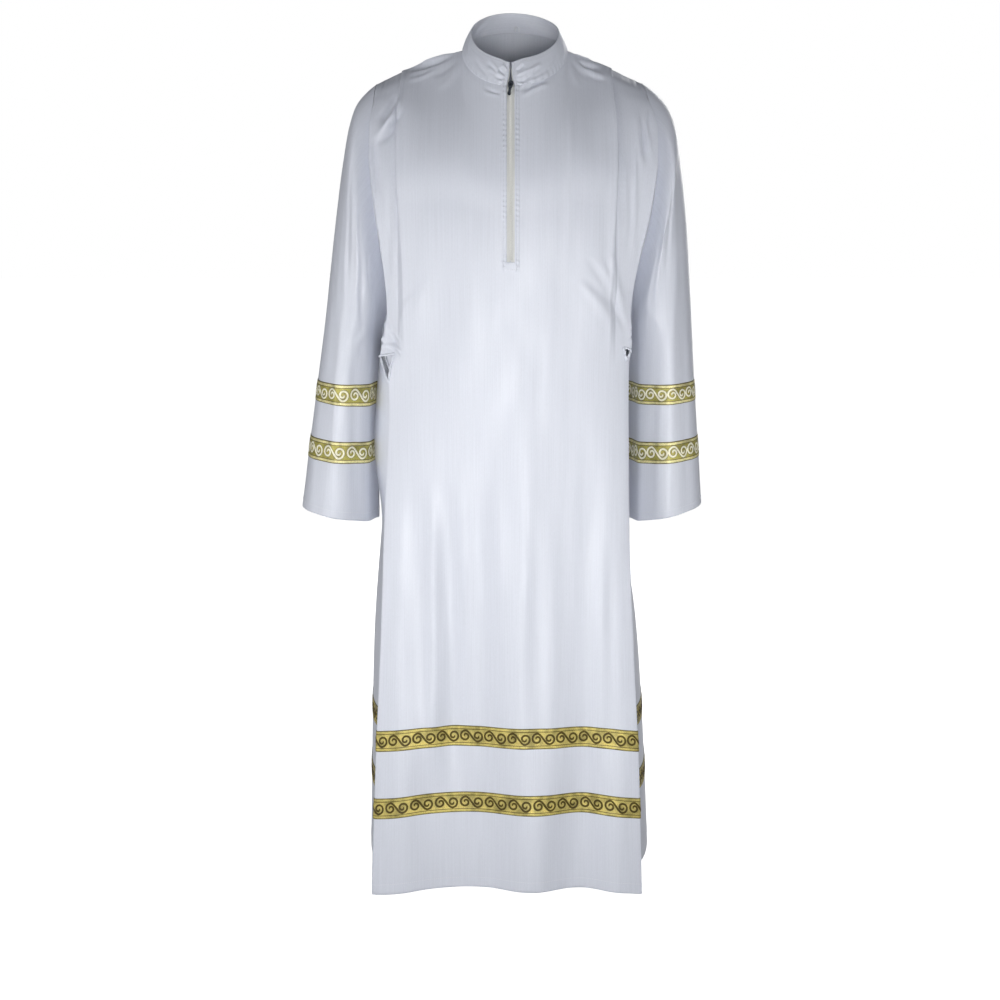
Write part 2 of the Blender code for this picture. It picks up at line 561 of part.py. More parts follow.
def wall(name, points, thickness, finish, closed=False, moved=0.0, skipped=lambda row, column: False,
         normals=None):
    """A cloth wall round a grid of points, moved outwards, with its skipped cells left open.

    Each cell is cut along the same diagonal, so that walls made from one grid keep their distance.
    """
    rows, columns = points.shape[:2]
    if normals is None:
        normals = grid_normals(points, closed)
    outer = points + normals * (moved + thickness / 2)
    inner = points + normals * (moved - thickness / 2)
    cells = columns if closed else columns - 1
    shown = [(r, c) for r in range(rows - 1) for c in range(cells) if not skipped(r, c)]
    edges = {}
    corners = {}
    vertices = []

    def corner(r, c):
        c %= columns
        if (r, c) not in corners:
            corners[(r, c)] = len(vertices)
            vertices.extend([outer[r, c], inner[r, c]])
        return corners[(r, c)]

    faces = []
    for r, c in shown:
        ring = [corner(r, c), corner(r + 1, c), corner(r + 1, c + 1), corner(r, c + 1)]
        for half in (ring[:3], [ring[0], ring[2], ring[3]]):
            faces.append(half)
            faces.append([index + 1 for index in reversed(half)])
        for start, end in zip(ring, ring[1:] + ring[:1]):
            edges[(start, end)] = True
    for start, end in edges:
        if (end, start) not in edges:
            faces.append([end, start, start + 1, end + 1])
    return add_piece(name, vertices, faces, finish)


# Finishes: colour, roughness and metallic value
SATIN = (CLOTH_COLOUR, 0.35, 0.0)
GALLOON = (GOLD_COLOUR, 0.45, 0.4)
TAPE = (TAPE_COLOUR, 0.7, 0.0)
COIL = (COIL_COLOUR, 0.4, 0.0)
DARK_METAL = (DARK_METAL_COLOUR, 0.3, 0.9)

# Falls of the rows above the underarm; the panels and the sleeves share them along the armholes.
ZIP_FALL = (ZIP_END - FRONT_TOP) / (UNDERARM - FRONT_TOP)
FALLS = np.array([0.0, 0.035, 0.085, 0.16, 0.27, 0.42, 0.60, ZIP_FALL, 0.915, 1.0])
LOWER_LEVELS = np.array([0.420, PLEAT_TOP, 0.506, 0.600, 0.740, 0.860, 0.960, *UPPER_BAND,
                         1.115, *LOWER_BAND, 1.245, HEM])


def levels(centre_top):
    """Row levels of a panel, as drops of its middle line."""
    return np.concatenate([centre_top + (UNDERARM - centre_top) * FALLS, LOWER_LEVELS])


NECK_EDGE = 0.0008        # columns this far to both sides of the neck's corner
NECK_NEAR = 0.007         # and one more inside it
FRONT_NECK = (0.022, 0.042, 0.058)
FRONT_SHOULDER = (0.112, 0.134)
FRONT_TURNS = (0.955, 1.0, 1.07, 1.14, 1.20, SEAM_PLACE)
BACK_NECK = (0.020, 0.038, 0.054)
BACK_SHOULDER = (0.112, 0.134, 0.156, 0.176, 0.188)
BACK_TURNS = (1.0, 1.05, 1.12, 1.19, SEAM_PLACE)


def front_columns():
    """Places across the front: side turns, tucks, the zip's slot and the neck's corners."""
    places = []
    for hand, half in TOP_EDGE.items():
        tuck = abs(TUCKS["x"][0 if hand < 0 else 1])
        neck = NECK_LEFT if hand < 0 else NECK_RIGHT
        ends = [SLOT_HALF, *FRONT_NECK, neck - NECK_NEAR, neck - NECK_EDGE, neck + NECK_EDGE, *FRONT_SHOULDER]
        places += [hand * x / half for x in ends]
        places += [hand * (tuck + q * TUCK_HALF) / half for q in TUCK_SECTION["q"]]
        places += [hand * a for a in FRONT_TURNS]
    return np.array(sorted(places))


def back_columns():
    """Places across the back, from the right side seam to the left one."""
    places = [0.0]
    for hand, half in ((-1, BODY["wide_left"][0]), (1, BODY["wide_right"][0])):
        neck = NECK_LEFT if hand < 0 else NECK_RIGHT
        ends = np.array([*BACK_NECK, neck - NECK_NEAR, neck - NECK_EDGE, neck + NECK_EDGE, *BACK_SHOULDER])
        places += list(hand * 2 / math.pi * np.arcsin((ends / half) ** (BACK_ROUND / 2)))
        places += [hand * a for a in BACK_TURNS]
    return np.array(sorted(places, reverse=True))


FRONT_COLUMNS = front_columns()
BACK_COLUMNS = back_columns()


def make_front():
    """Front panel, with the zip's slot left open down to the zip's end."""
    rows = levels(FRONT_TOP)
    points = front_point(FRONT_COLUMNS[None, :], rows[:, None])
    middle = int(np.searchsorted(FRONT_COLUMNS, 0.0)) - 1
    last = int(np.where(np.isclose(rows, ZIP_END))[0][0])
    wall("front", points, CLOTH, SATIN, skipped=lambda r, c: c == middle and r < last)
    return points, rows


def make_back():
    """Back panel, from one side seam round the back to the other."""
    rows = levels(BACK_TOP)
    points = back_point(BACK_COLUMNS[None, :], rows[:, None])
    wall("back", points, CLOTH, SATIN)
    return points, rows


def make_hem_bands(panel, points, rows):
    """Two galloon bands on the hem of a panel, made from the panel's own points."""
    normals = grid_normals(points, False)
    inset = slice(1, -1)
    for label, (top, bottom) in (("upper", UPPER_BAND), ("lower", LOWER_BAND)):
        first = int(np.where(np.isclose(rows, top))[0][0])
        picked = slice(first, first + 2)
        wall(f"hem_band_{label}_{panel}", points[picked, inset], BAND_CLOTH, GALLOON,
             moved=(CLOTH + BAND_CLOTH) / 2 + GAP, normals=normals[picked, inset])


def sleeve_grid(hand, alongs):
    """A sleeve's points: columns round it, anticlockwise from above, sharing the armhole's falls."""
    c = 1 - 2 * FALLS
    front = np.concatenate([c, c[-2:0:-1]])
    facing = np.concatenate([np.ones(len(c)), -np.ones(len(c) - 2)])
    if hand > 0:
        front = front[::-1]
        facing = facing[::-1]
    return sleeve_point(hand, front[None, :], facing[None, :], np.asarray(alongs)[:, None])


SLEEVE_BAND_ROWS = {"upper": 8, "lower": 10}      # the ring where each band of a sleeve starts


def make_sleeve(name, hand, rows):
    """One sleeve and its two galloon bands."""
    alongs = rows["along"]
    points = sleeve_grid(hand, alongs)
    wall(f"sleeve_{name}", points, CLOTH, SATIN, closed=True)
    normals = grid_normals(points, True)
    for label, first in SLEEVE_BAND_ROWS.items():
        picked = slice(first, first + 2)
        wall(f"sleeve_band_{label}_{name}", points[picked], BAND_CLOTH, GALLOON, closed=True,
             moved=(CLOTH + BAND_CLOTH) / 2 + GAP, normals=normals[picked])


def make_collar():
    """Stand collar, open at the front."""
    ups = np.array([1.0, 0.5, 0.0])
    turns = collar_turns(41, ups)
    wall("collar", collar_point(turns, ups[:, None]), COLLAR_CLOTH, SATIN)


def placket_x(x, up):
    """Angle round the neck of the place x across the collar's front, at the height `up`."""
    right = NECK_RIGHT + (RIM_RIGHT - NECK_RIGHT) * up
    left = NECK_LEFT + (RIM_LEFT - NECK_LEFT) * up
    return -math.pi / 2 + np.arcsin(x / np.where(x > 0, right, left))


# The zip's path: heights on the collar's ends, then levels on the front.
ZIP_UPS = np.array([0.80, 0.55, 0.30, 0.05])
ZIP_LEVELS = np.array([0.062, COIL_TOP, 0.078, 0.096, 0.120, 0.155, 0.200, 0.255, COIL_END,
                       ZIP_END + TAPE_TAIL])


def placket_points(inner, outer, hand):
    """Points of a strip beside the zip's middle: one row for each height, from inner to outer."""
    parts = np.array([0.0, 0.5, 1.0]) if hand > 0 else np.array([1.0, 0.5, 0.0])
    rows = []
    for up in ZIP_UPS:
        near = max(inner, collar_end(up) - TAPE_SHOWN)
        x = hand * (near + (outer - near) * parts)
        rows.append(collar_point(placket_x(x, up), up))
    for level in ZIP_LEVELS:
        x = hand * (inner + (outer - inner) * parts)
        rows.append(front_point(x / TOP_EDGE[hand], level))
    return np.array(rows)


def make_tapes():
    """The zip's two tapes, behind the front and the collar's ends."""
    for label, hand in (("left", -1), ("right", 1)):
        points = placket_points(TAPE_SPLIT, TAPE_HALF, hand)
        wall(f"zip_tape_{label}", points, TAPE_CLOTH, TAPE, moved=-TAPE_DEPTH)


def make_coil():
    """The closed coil, one ridge that lies on both tapes below the slider."""
    levels_down = [level for level in ZIP_LEVELS if COIL_TOP <= level <= COIL_END]
    places = np.array([-COIL_HALF, 0.0, COIL_HALF]) / TOP_EDGE[1]
    points = front_point(places[None, :], np.array(levels_down)[:, None])
    lift = -TAPE_DEPTH + TAPE_CLOTH / 2 + GAP + COIL_HEIGHT / 2
    wall("zip_coil", points, COIL_HEIGHT, COIL, moved=lift)


def slider_frame():
    """Matrix of the slider: X to the right, Y up the zip, Z out of the cloth, leaning a little."""
    above = Vector(collar_point(-math.pi / 2, SLIDER_ABOVE))
    below = Vector(front_point(0.0, SLIDER_BELOW))
    up = (above - below).normalized()
    out = Vector((1, 0, 0)).cross(up).normalized()
    frame = Matrix((Vector((1, 0, 0)), up, out)).transposed().to_4x4()
    frame.translation = (above + below) / 2
    return frame @ Matrix.Rotation(math.radians(-SLIDER_TURN), 4, "Z")


def prism(outline, low, high):
    """Vertices and faces of an outline in X and Y, from Z low to high."""
    count = len(outline)
    vertices = [(x, y, low) for x, y in outline] + [(x, y, high) for x, y in outline]
    faces = [[i, (i + 1) % count, count + (i + 1) % count, count + i] for i in range(count)]
    return vertices, faces + [list(range(count))[::-1], list(range(count, 2 * count))]


def make_slider(frame):
    """Slider: a body that narrows downwards, and the bridge that holds the pull's bar."""
    half = SLIDER_LENGTH / 2
    corner = SLIDER_CORNER
    outline = [(-SLIDER_TAIL_HALF + corner, -half), (SLIDER_TAIL_HALF - corner, -half),
               (SLIDER_TAIL_HALF, -half + corner), (SLIDER_TOP_HALF, half - 3 * corner),
               (SLIDER_TOP_HALF - corner / 2, half - corner), (SLIDER_TOP_HALF - 2 * corner, half),
               (-SLIDER_TOP_HALF + 2 * corner, half), (-SLIDER_TOP_HALF + corner / 2, half - corner),
               (-SLIDER_TOP_HALF, half - 3 * corner), (-SLIDER_TAIL_HALF, -half + corner)]
    body = add_piece("zip_slider", *prism(outline, SLIDER_BACK, SLIDER_FACE), DARK_METAL)
    turns = [math.radians(t) for t in range(0, 181, 30)]
    foot = SLIDER_FACE - PIN_HEIGHT - BRIDGE_SUNK
    arch = [(BRIDGE_OUTER, foot)] + [(BRIDGE_OUTER * math.cos(t), BRIDGE_OUTER * math.sin(t)) for t in turns]
    arch += [(-BRIDGE_OUTER, foot), (-BRIDGE_INNER, foot)]
    arch += [(BRIDGE_INNER * math.cos(t), BRIDGE_INNER * math.sin(t)) for t in reversed(turns)]
    arch += [(BRIDGE_INNER, foot)]
    vertices, faces = prism(arch, -BRIDGE_HALF, BRIDGE_HALF)
    vertices = [(z, x, y + PIN_HEIGHT) for x, y, z in vertices]
    bridge = add_piece("zip_slider_bridge_cutter", vertices, faces, DARK_METAL)
    bridge.hide_render = True
    bridge.display_type = "WIRE"
    joined = body.modifiers.new("bridge", "BOOLEAN")
    joined.operation = "UNION"
    joined.object = bridge
    body.matrix_world = frame
    bridge.matrix_world = frame
    return body


def make_pull(frame):
    """Pull tab, with its origin on the bar that turns in the slider's bridge."""
    outline = [(-PULL_HALF, PIN_HALF), (PULL_HALF, PIN_HALF), (PULL_HALF, -PULL_WINDOW - PULL_SHOULDER),
               (PULL_WAIST, -PULL_WINDOW - PULL_NARROW), (PULL_WAIST, -PULL_LENGTH + PULL_WIDENS),
               (PULL_HALF, -PULL_LENGTH + PULL_WIDE), (PULL_HALF, -PULL_LENGTH + PULL_ROUNDS),
               (PULL_HALF - PULL_CORNER, -PULL_LENGTH), (-PULL_HALF + PULL_CORNER, -PULL_LENGTH),
               (-PULL_HALF, -PULL_LENGTH + PULL_ROUNDS), (-PULL_HALF, -PULL_LENGTH + PULL_WIDE),
               (-PULL_WAIST, -PULL_LENGTH + PULL_WIDENS), (-PULL_WAIST, -PULL_WINDOW - PULL_NARROW),
               (-PULL_HALF, -PULL_WINDOW - PULL_SHOULDER)]
    outline.reverse()
    hole = [(-PULL_WINDOW_HALF, -PIN_HALF), (PULL_WINDOW_HALF, -PIN_HALF),
            (PULL_WINDOW_HALF, -PULL_WINDOW), (-PULL_WINDOW_HALF, -PULL_WINDOW)]
    vertices, faces = prism(outline, -PIN_HALF, PIN_HALF)
    pull = add_piece("zip_pull", vertices, faces, DARK_METAL)
    window = add_piece("zip_pull_window_cutter", *prism(hole[::-1], -2 * PIN_HALF, 2 * PIN_HALF), DARK_METAL)
    window.hide_render = True
    window.display_type = "WIRE"
    cut = pull.modifiers.new("window", "BOOLEAN")
    cut.operation = "DIFFERENCE"
    cut.object = window
    pull.matrix_world = frame @ Matrix.Translation((0, 0, PIN_HEIGHT))
    window.matrix_world = pull.matrix_world
    return pull


def make_loop():
    """Hanging loop: a thread bar on the inside of the collar's back, over the neck seam."""
    path = [(LOOP_HALF, LOOP_FOOT)]
    for i in range(LOOP_STEPS + 1):
        t = math.pi * i / LOOP_STEPS
        path.append((LOOP_HALF * math.cos(t), LOOP_HEIGHT - LOOP_HALF + LOOP_HALF * math.sin(t)))
    path.append((-LOOP_HALF, LOOP_FOOT))
    centre = Vector(collar_point(LOOP_TURN, 0.2))
    right = (Vector(collar_point(LOOP_TURN - 0.05, 0.2)) - centre).normalized()
    up = (Vector(collar_point(LOOP_TURN, 0.5)) - centre).normalized()
    inward = right.cross(up).normalized()
    if inward.y > 0:
        inward = -inward
    clear = COLLAR_CLOTH / 2 + GAP + LOOP_RADIUS + LOOP_INSIDE
    foot = Vector(collar_point(LOOP_TURN, 0.0)) + inward * clear
    vertices = []
    for i, (x, y) in enumerate(path):
        before = path[max(i - 1, 0)]
        after = path[min(i + 1, len(path) - 1)]
        run = Vector((after[0] - before[0], after[1] - before[1])).normalized()
        across = (right * -run.y + up * run.x).normalized()
        middle = foot + right * x + up * y
        for j in range(LOOP_SIDES):
            t = 2 * math.pi * j / LOOP_SIDES
            vertices.append(middle + (across * math.cos(t) + inward * math.sin(t)) * LOOP_RADIUS)
    faces = []
    for i in range(len(path) - 1):
        for j in range(LOOP_SIDES):
            k = (j + 1) % LOOP_SIDES
            ring = i * LOOP_SIDES
            faces.append([ring + j, ring + k, ring + LOOP_SIDES + k, ring + LOOP_SIDES + j])
    last = (len(path) - 1) * LOOP_SIDES
    faces.append(list(range(LOOP_SIDES))[::-1])
    faces.append([last + j for j in range(LOOP_SIDES)])
    return add_piece("hanging_loop", vertices, faces, SATIN)


make_hem_bands("front", *make_front())
make_hem_bands("back", *make_back())
make_sleeve("left", -1, SLEEVE_LEFT)
make_sleeve("right", 1, SLEEVE_RIGHT)
make_collar()
make_tapes()
make_coil()
ZIP_FRAME = slider_frame()
make_slider(ZIP_FRAME)
make_pull(ZIP_FRAME)
make_loop()
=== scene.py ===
import math

import bpy
import numpy as np
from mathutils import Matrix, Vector


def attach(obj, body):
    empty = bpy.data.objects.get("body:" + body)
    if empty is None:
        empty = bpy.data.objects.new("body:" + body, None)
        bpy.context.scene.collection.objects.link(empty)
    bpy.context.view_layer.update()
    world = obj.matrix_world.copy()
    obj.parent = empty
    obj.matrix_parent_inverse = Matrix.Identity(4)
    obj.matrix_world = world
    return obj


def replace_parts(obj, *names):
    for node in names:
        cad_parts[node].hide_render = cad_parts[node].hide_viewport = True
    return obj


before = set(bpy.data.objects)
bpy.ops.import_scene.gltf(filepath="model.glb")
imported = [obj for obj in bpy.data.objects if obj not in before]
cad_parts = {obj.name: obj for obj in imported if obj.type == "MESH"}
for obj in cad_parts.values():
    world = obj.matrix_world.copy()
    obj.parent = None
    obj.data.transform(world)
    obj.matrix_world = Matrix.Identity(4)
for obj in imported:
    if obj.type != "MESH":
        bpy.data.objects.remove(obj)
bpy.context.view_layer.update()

# Studio: a camera at the photograph's height and tilt, looking down a little, a pale floor well below
# the hem, and large soft lights in front that leave upward faces greyer than upright ones.
CAMERA_PLACE = (-0.016, -2.8, -0.2)
CAMERA_TILT = 79.64
CAMERA_LENS = 63
FLOOR_HEIGHT = -1.46


def linked(name, data):
    """An object of this data, in the scene."""
    made = bpy.data.objects.new(name, data)
    bpy.context.scene.collection.objects.link(made)
    return made


def softbox(name, place, aim, size, power, spread=180):
    """A square area light at a place, aimed at a point, its light kept within an angle."""
    lamp = bpy.data.lights.new(name, "AREA")
    lamp.shape = "SQUARE"
    lamp.size = size
    lamp.energy = power
    lamp.spread = math.radians(spread)
    holder = linked(name, lamp)
    holder.location = place
    holder.rotation_euler = (Vector(aim) - Vector(place)).to_track_quat("-Z", "Y").to_euler()


def feed(node, inputs):
    """Sets a node's inputs, each to a value, to a socket, or to the first output of a node."""
    for key, value in inputs.items():
        if isinstance(value, bpy.types.Node):
            value = value.outputs[0]
        if isinstance(value, bpy.types.NodeSocket):
            node.id_data.links.new(value, node.inputs[key])
        else:
            node.inputs[key].default_value = value
    return node


def add(tree, kind, inputs):
    """A new shader node with these inputs."""
    return feed(tree.nodes.new("ShaderNode" + kind), inputs)


def material(name, inputs):
    """A material, its node tree, and its Principled shader with these inputs."""
    made = bpy.data.materials.new(name)
    made.use_nodes = True
    return made, made.node_tree, feed(made.node_tree.nodes["Principled BSDF"], inputs)


camera_data = bpy.data.cameras.new("camera")
camera_data.lens = CAMERA_LENS
camera = linked("camera", camera_data)
camera.location = CAMERA_PLACE
camera.rotation_euler = (math.radians(CAMERA_TILT), 0, 0)
bpy.context.scene.camera = camera

softbox("light_front", (-0.05, -3.1, -1.02), (0.0, 0.0, -0.82), 1.5, 5.3, spread=45)
softbox("light_neck", (0.10, -0.95, 1.25), (0.0, 0.05, -0.03), 0.25, 0.03, spread=18)
softbox("light_right", (2.2, -1.9, -1.05), (0.0, 0.0, -0.6), 2.4, 34)
softbox("light_left", (-2.4, -1.8, -0.95), (0.0, 0.0, -0.5), 2.2, 44)
softbox("light_behind", (0.6, 3.2, 0.2), (0.0, 0.0, -0.5), 2.0, 62)

bpy.ops.object.select_all(action="DESELECT")
bpy.ops.mesh.primitive_plane_add(size=40, location=(0, 0, FLOOR_HEIGHT))
floor = bpy.context.object
floor.name = "floor"
floor_paint, floor_tree, floor_shader = material("floor_paint", {
    "Base Color": (0.55, 0.55, 0.56, 1), "Roughness": 0.9, "Emission Color": (1, 1, 1, 1)})
feed(floor_shader, {"Emission Strength": add(floor_tree, "LightPath", {})})
floor.data.materials.append(floor_paint)

studio = bpy.data.worlds.new("studio")
studio.use_nodes = True
tree = studio.node_tree
glow = feed(tree.nodes["Background"], {"Color": (0.86, 0.90, 1.0, 1), "Strength": 0.13})
seen = add(tree, "Background", {"Color": (1, 1, 1, 1)})
choose = add(tree, "MixShader", {"Fac": add(tree, "LightPath", {}), 1: glow, 2: seen})
feed(tree.nodes["World Output"], {"Surface": choose})
bpy.context.scene.world = studio
bpy.context.scene.view_settings.view_transform = "Standard"

# Front: one panel of white satin cut in one with its side turns. It hangs from the shoulder seams with
# one deep tuck on each side, is slit for the zip, and its sides turn in to the seams of the side pleats.
HANDS = {"left": -1, "right": 1}
SEAM = 0.0004             # the panels meet edge to edge at a seam
UNDERARM = 0.385
ZIP_END = 0.321
HEM = 1.305
PLEAT_TOP = 0.463
HEM_DROOP = 0.014
HEM_TURNED = 0.018        # depth of the turned hem inside
SLOT_HALF = 0.0063
TINY = 1e-9
FRONT_HALF = 0.193        # widths that the weave is drawn to: half of the front
BACK_HALF = 0.30          # half of the back
SLEEVE_ROUND = 0.40       # all round a sleeve
NECK_LEFT = 0.0735
NECK_RIGHT = 0.0880
NECK_FRONT = 0.0900
NECK_BACK = 0.0650
NECK_SIDE_DROP = 0.0020
NECK_FRONT_SLOPE = 0.63
NECK_BACK_SLOPE = 0.49
FRONT_TOP = NECK_SIDE_DROP + NECK_FRONT_SLOPE * NECK_FRONT
BACK_TOP = NECK_SIDE_DROP - NECK_BACK_SLOPE * NECK_BACK
SHOULDER_SLOPE = (0.25, 0.42)         # left and right
SHOULDER_CURVE = (1.00, 0.10)
SEAM_PLACE = 1.25         # place across of a panel's sewn edge, where its fold edge is 1
ROWS_CLOSER = 1.15        # a panel's rows lie closer towards its top by this power
FRONT_ROUND = 2.6
EDGE_SHARE = 10
ARMHOLE_ROUND = 2.2
ARMHOLE_BULGE = {-1: 0.018, 1: 0.030}
EDGE_BULGE = 0.0015
SETTLED_AT = 0.6
FOLDS_END = 0.97
FOLDS_FADE = 0.20
FOLD_GROWTH = 0.8
SEAM_LAID = 12
CREASE_SIDE = 0.45        # depth of the hollow on the side that a crease leans to, as a share of its height
CREASE_OFF = 1.7          # and how far off that hollow is, in half widths


def table(columns, *rows, plain=""):
    """A table with named columns, each an array: written in millimetres, but for the plain columns."""
    units = [1.0 if name in plain.split() else 0.001 for name in columns.split()]
    return {name: np.array(values) * unit for name, unit, values in zip(columns.split(), units, zip(*rows))}


def smooth(rows, key, name, at):
    """Column `name` at `at` of column `key`, on a smooth curve through the rows."""
    keys = rows[key]
    values = rows[name]
    at = np.clip(np.asarray(at, dtype=float), keys[0], keys[-1])
    slopes = np.gradient(values, keys)
    i = np.clip(np.searchsorted(keys, at, side="right") - 1, 0, len(keys) - 2)
    width = keys[i + 1] - keys[i]
    t = (at - keys[i]) / width
    rise = t * t * (3 - 2 * t)
    leave = t * (1 - t) ** 2 * width * slopes[i]
    arrive = t * t * (t - 1) * width * slopes[i + 1]
    return values[i] + (values[i + 1] - values[i]) * rise + leave + arrive


def arrays(*values):
    """The values as arrays of one shape."""
    return np.broadcast_arrays(*(np.asarray(value, dtype=float) for value in values))


def bell(t):
    """1 at 0, and fading on both sides."""
    return np.exp(-t ** 2)


def ease(t):
    """0 to 1, level at both ends."""
    t = np.clip(t, 0.0, 1.0)
    return t * t * (3 - 2 * t)


# The body's level sections. Front fold edges, front middle, back's widest place and back middle.
BODY = table(
    "drop left right front edge wide_left wide_right wide_y back",
    (45, 194, 192, 138, 78, 194, 192, 76, 90),
    (100, 212, 219, 146, 92, 208, 213, 90, 118),
    (156, 214, 224, 150, 100, 211, 221, 92, 132),
    (242, 206, 213, 152, 106, 208, 211, 92, 142),
    (314, 196, 197, 153, 110, 194, 193, 85, 147),
    (350, 192, 190, 153, 112, 185, 182, 70, 149),
    (385, 189, 185, 153, 113, 178, 172, 36, 150),
    (443, 188, 182, 153, 114, 181, 173, 10, 151),
    (511, 187, 182, 154, 118, 188, 176, 10, 153),
    (740, 195, 184, 160, 135, 209, 185, 55, 166),
    (915, 201, 192, 166, 146, 225, 211, 85, 180),
    (1080, 208, 200, 174, 156, 232, 225, 105, 194),
    (1193, 212, 205, 180, 162, 235, 232, 115, 203),
    (1305, 216, 209, 186, 168, 238, 238, 122, 211),
)
SIDE_SEAM = table(
    "drop left right forward",
    (385, 178, 173, 0),
    (420, 176.5, 170, 46),
    (463, 173, 166, 82),
    (506, 167, 158, 87),
    (600, 166, 156, 88),
    (740, 171, 158, 89),
    (915, 177, 165, 91),
    (1080, 184, 172, 95),
    (1305, 191, 180, 101),
)
# How far a panel has come forward or back from the shoulder line, by the part of its fall.
SHOULDER = table(
    "fall neck point",
    (0, 0, 0),
    (0.035, 0.13, 0.37),
    (0.085, 0.27, 0.6),
    (0.16, 0.46, 0.78),
    (0.27, 0.71, 0.91),
    (0.42, 0.94, 0.98),
    (0.6, 1, 1),
    (1, 1, 1),
    plain="fall neck point",
)
# Sleeve rings from the armhole to the cuff: the outer and inner ends of each ring and its half depth.
SLEEVE_RINGS = {-1: table(
    "along outer_x outer_drop inner_x inner_drop depth",
    (0, 207, 53, 180, 385, 80),
    (0.05, 223.5, 66, 185.5, 395, 87),
    (0.1, 239, 85, 190.5, 404, 95),
    (0.15, 249, 112, 195, 414, 99),
    (0.23, 260.5, 169, 200, 430, 99.5),
    (0.34, 272.5, 250, 206.5, 452, 96),
    (0.46, 284, 340.5, 207.5, 474, 92),
    (0.57, 294.5, 425, 209, 496, 88),
    (0.66, 307, 511, 210.5, 516, 85),
    (0.71, 311.5, 543, 211, 552, 84),
    (0.8, 320, 600, 212, 608, 82),
    (0.85, 325, 634.5, 212.5, 643, 81),
    (0.92, 330.5, 676, 212.5, 690, 80),
    (1, 336.5, 717, 212.5, 739, 79),
    plain="along",
), 1: table(
    "along outer_x outer_drop inner_x inner_drop depth",
    (0, 205, 52, 175, 385, 80),
    (0.05, 223, 65, 179.5, 395, 87),
    (0.1, 241, 84, 183, 404, 95),
    (0.15, 253, 108, 185.5, 414, 99),
    (0.23, 263.5, 160, 188, 430, 99.5),
    (0.34, 275.5, 250, 190, 452, 96),
    (0.46, 283.5, 345, 191, 474, 92),
    (0.57, 289, 425, 191, 496, 88),
    (0.66, 294.5, 511, 191, 516, 85),
    (0.71, 297, 543, 191, 548, 84),
    (0.8, 301.5, 600, 191, 608, 82),
    (0.85, 304.5, 634.5, 191, 643, 81),
    (0.92, 307.5, 676, 190.5, 690, 80),
    (1, 310.5, 712, 190.5, 739, 79),
    plain="along",
)}
# Soft upright folds: where each starts, its place and half width at the top and hem, and its height.
FRONT_FOLDS = table(
    "top x_top x_hem wide_top wide_hem rise",
    (420, -150, -178, 22, 40, 12),
    (500, -58, -56, 40, 70, -15),
    (360, 12, 30, 30, 52, 18),
    (550, 95, 112, 26, 44, -13),
    (420, 146, 166, 20, 36, 10),
)
# Tucks from the shoulder seam: place across, where they start to open, are open and are flat.
TUCKS = table(
    "x hold open flat",
    (-166, 120, 385, 500),
    (155, 120, 385, 500),
)
TUCK_HALF = 0.012
TUCK_SECTION = table(
    "q over proud",
    (-1, -12, 6),
    (-0.62, -4.5, 6.2),
    (-0.3, 0.8, 6.2),
    (-0.12, 2.2, 5.2),
    (0.04, 0.6, 4),
    (0.28, -3.8, 2.4),
    (0.42, -5, 1.2),
    (0.56, -3.8, 0),
    (0.78, 2, 0),
    (1, 12, 0),
    plain="q",
)
TUCK_BLEND = 0.055
TUCK_SEWN = 0.30
TUCK_SEWN_TO = (0.045, 0.060)
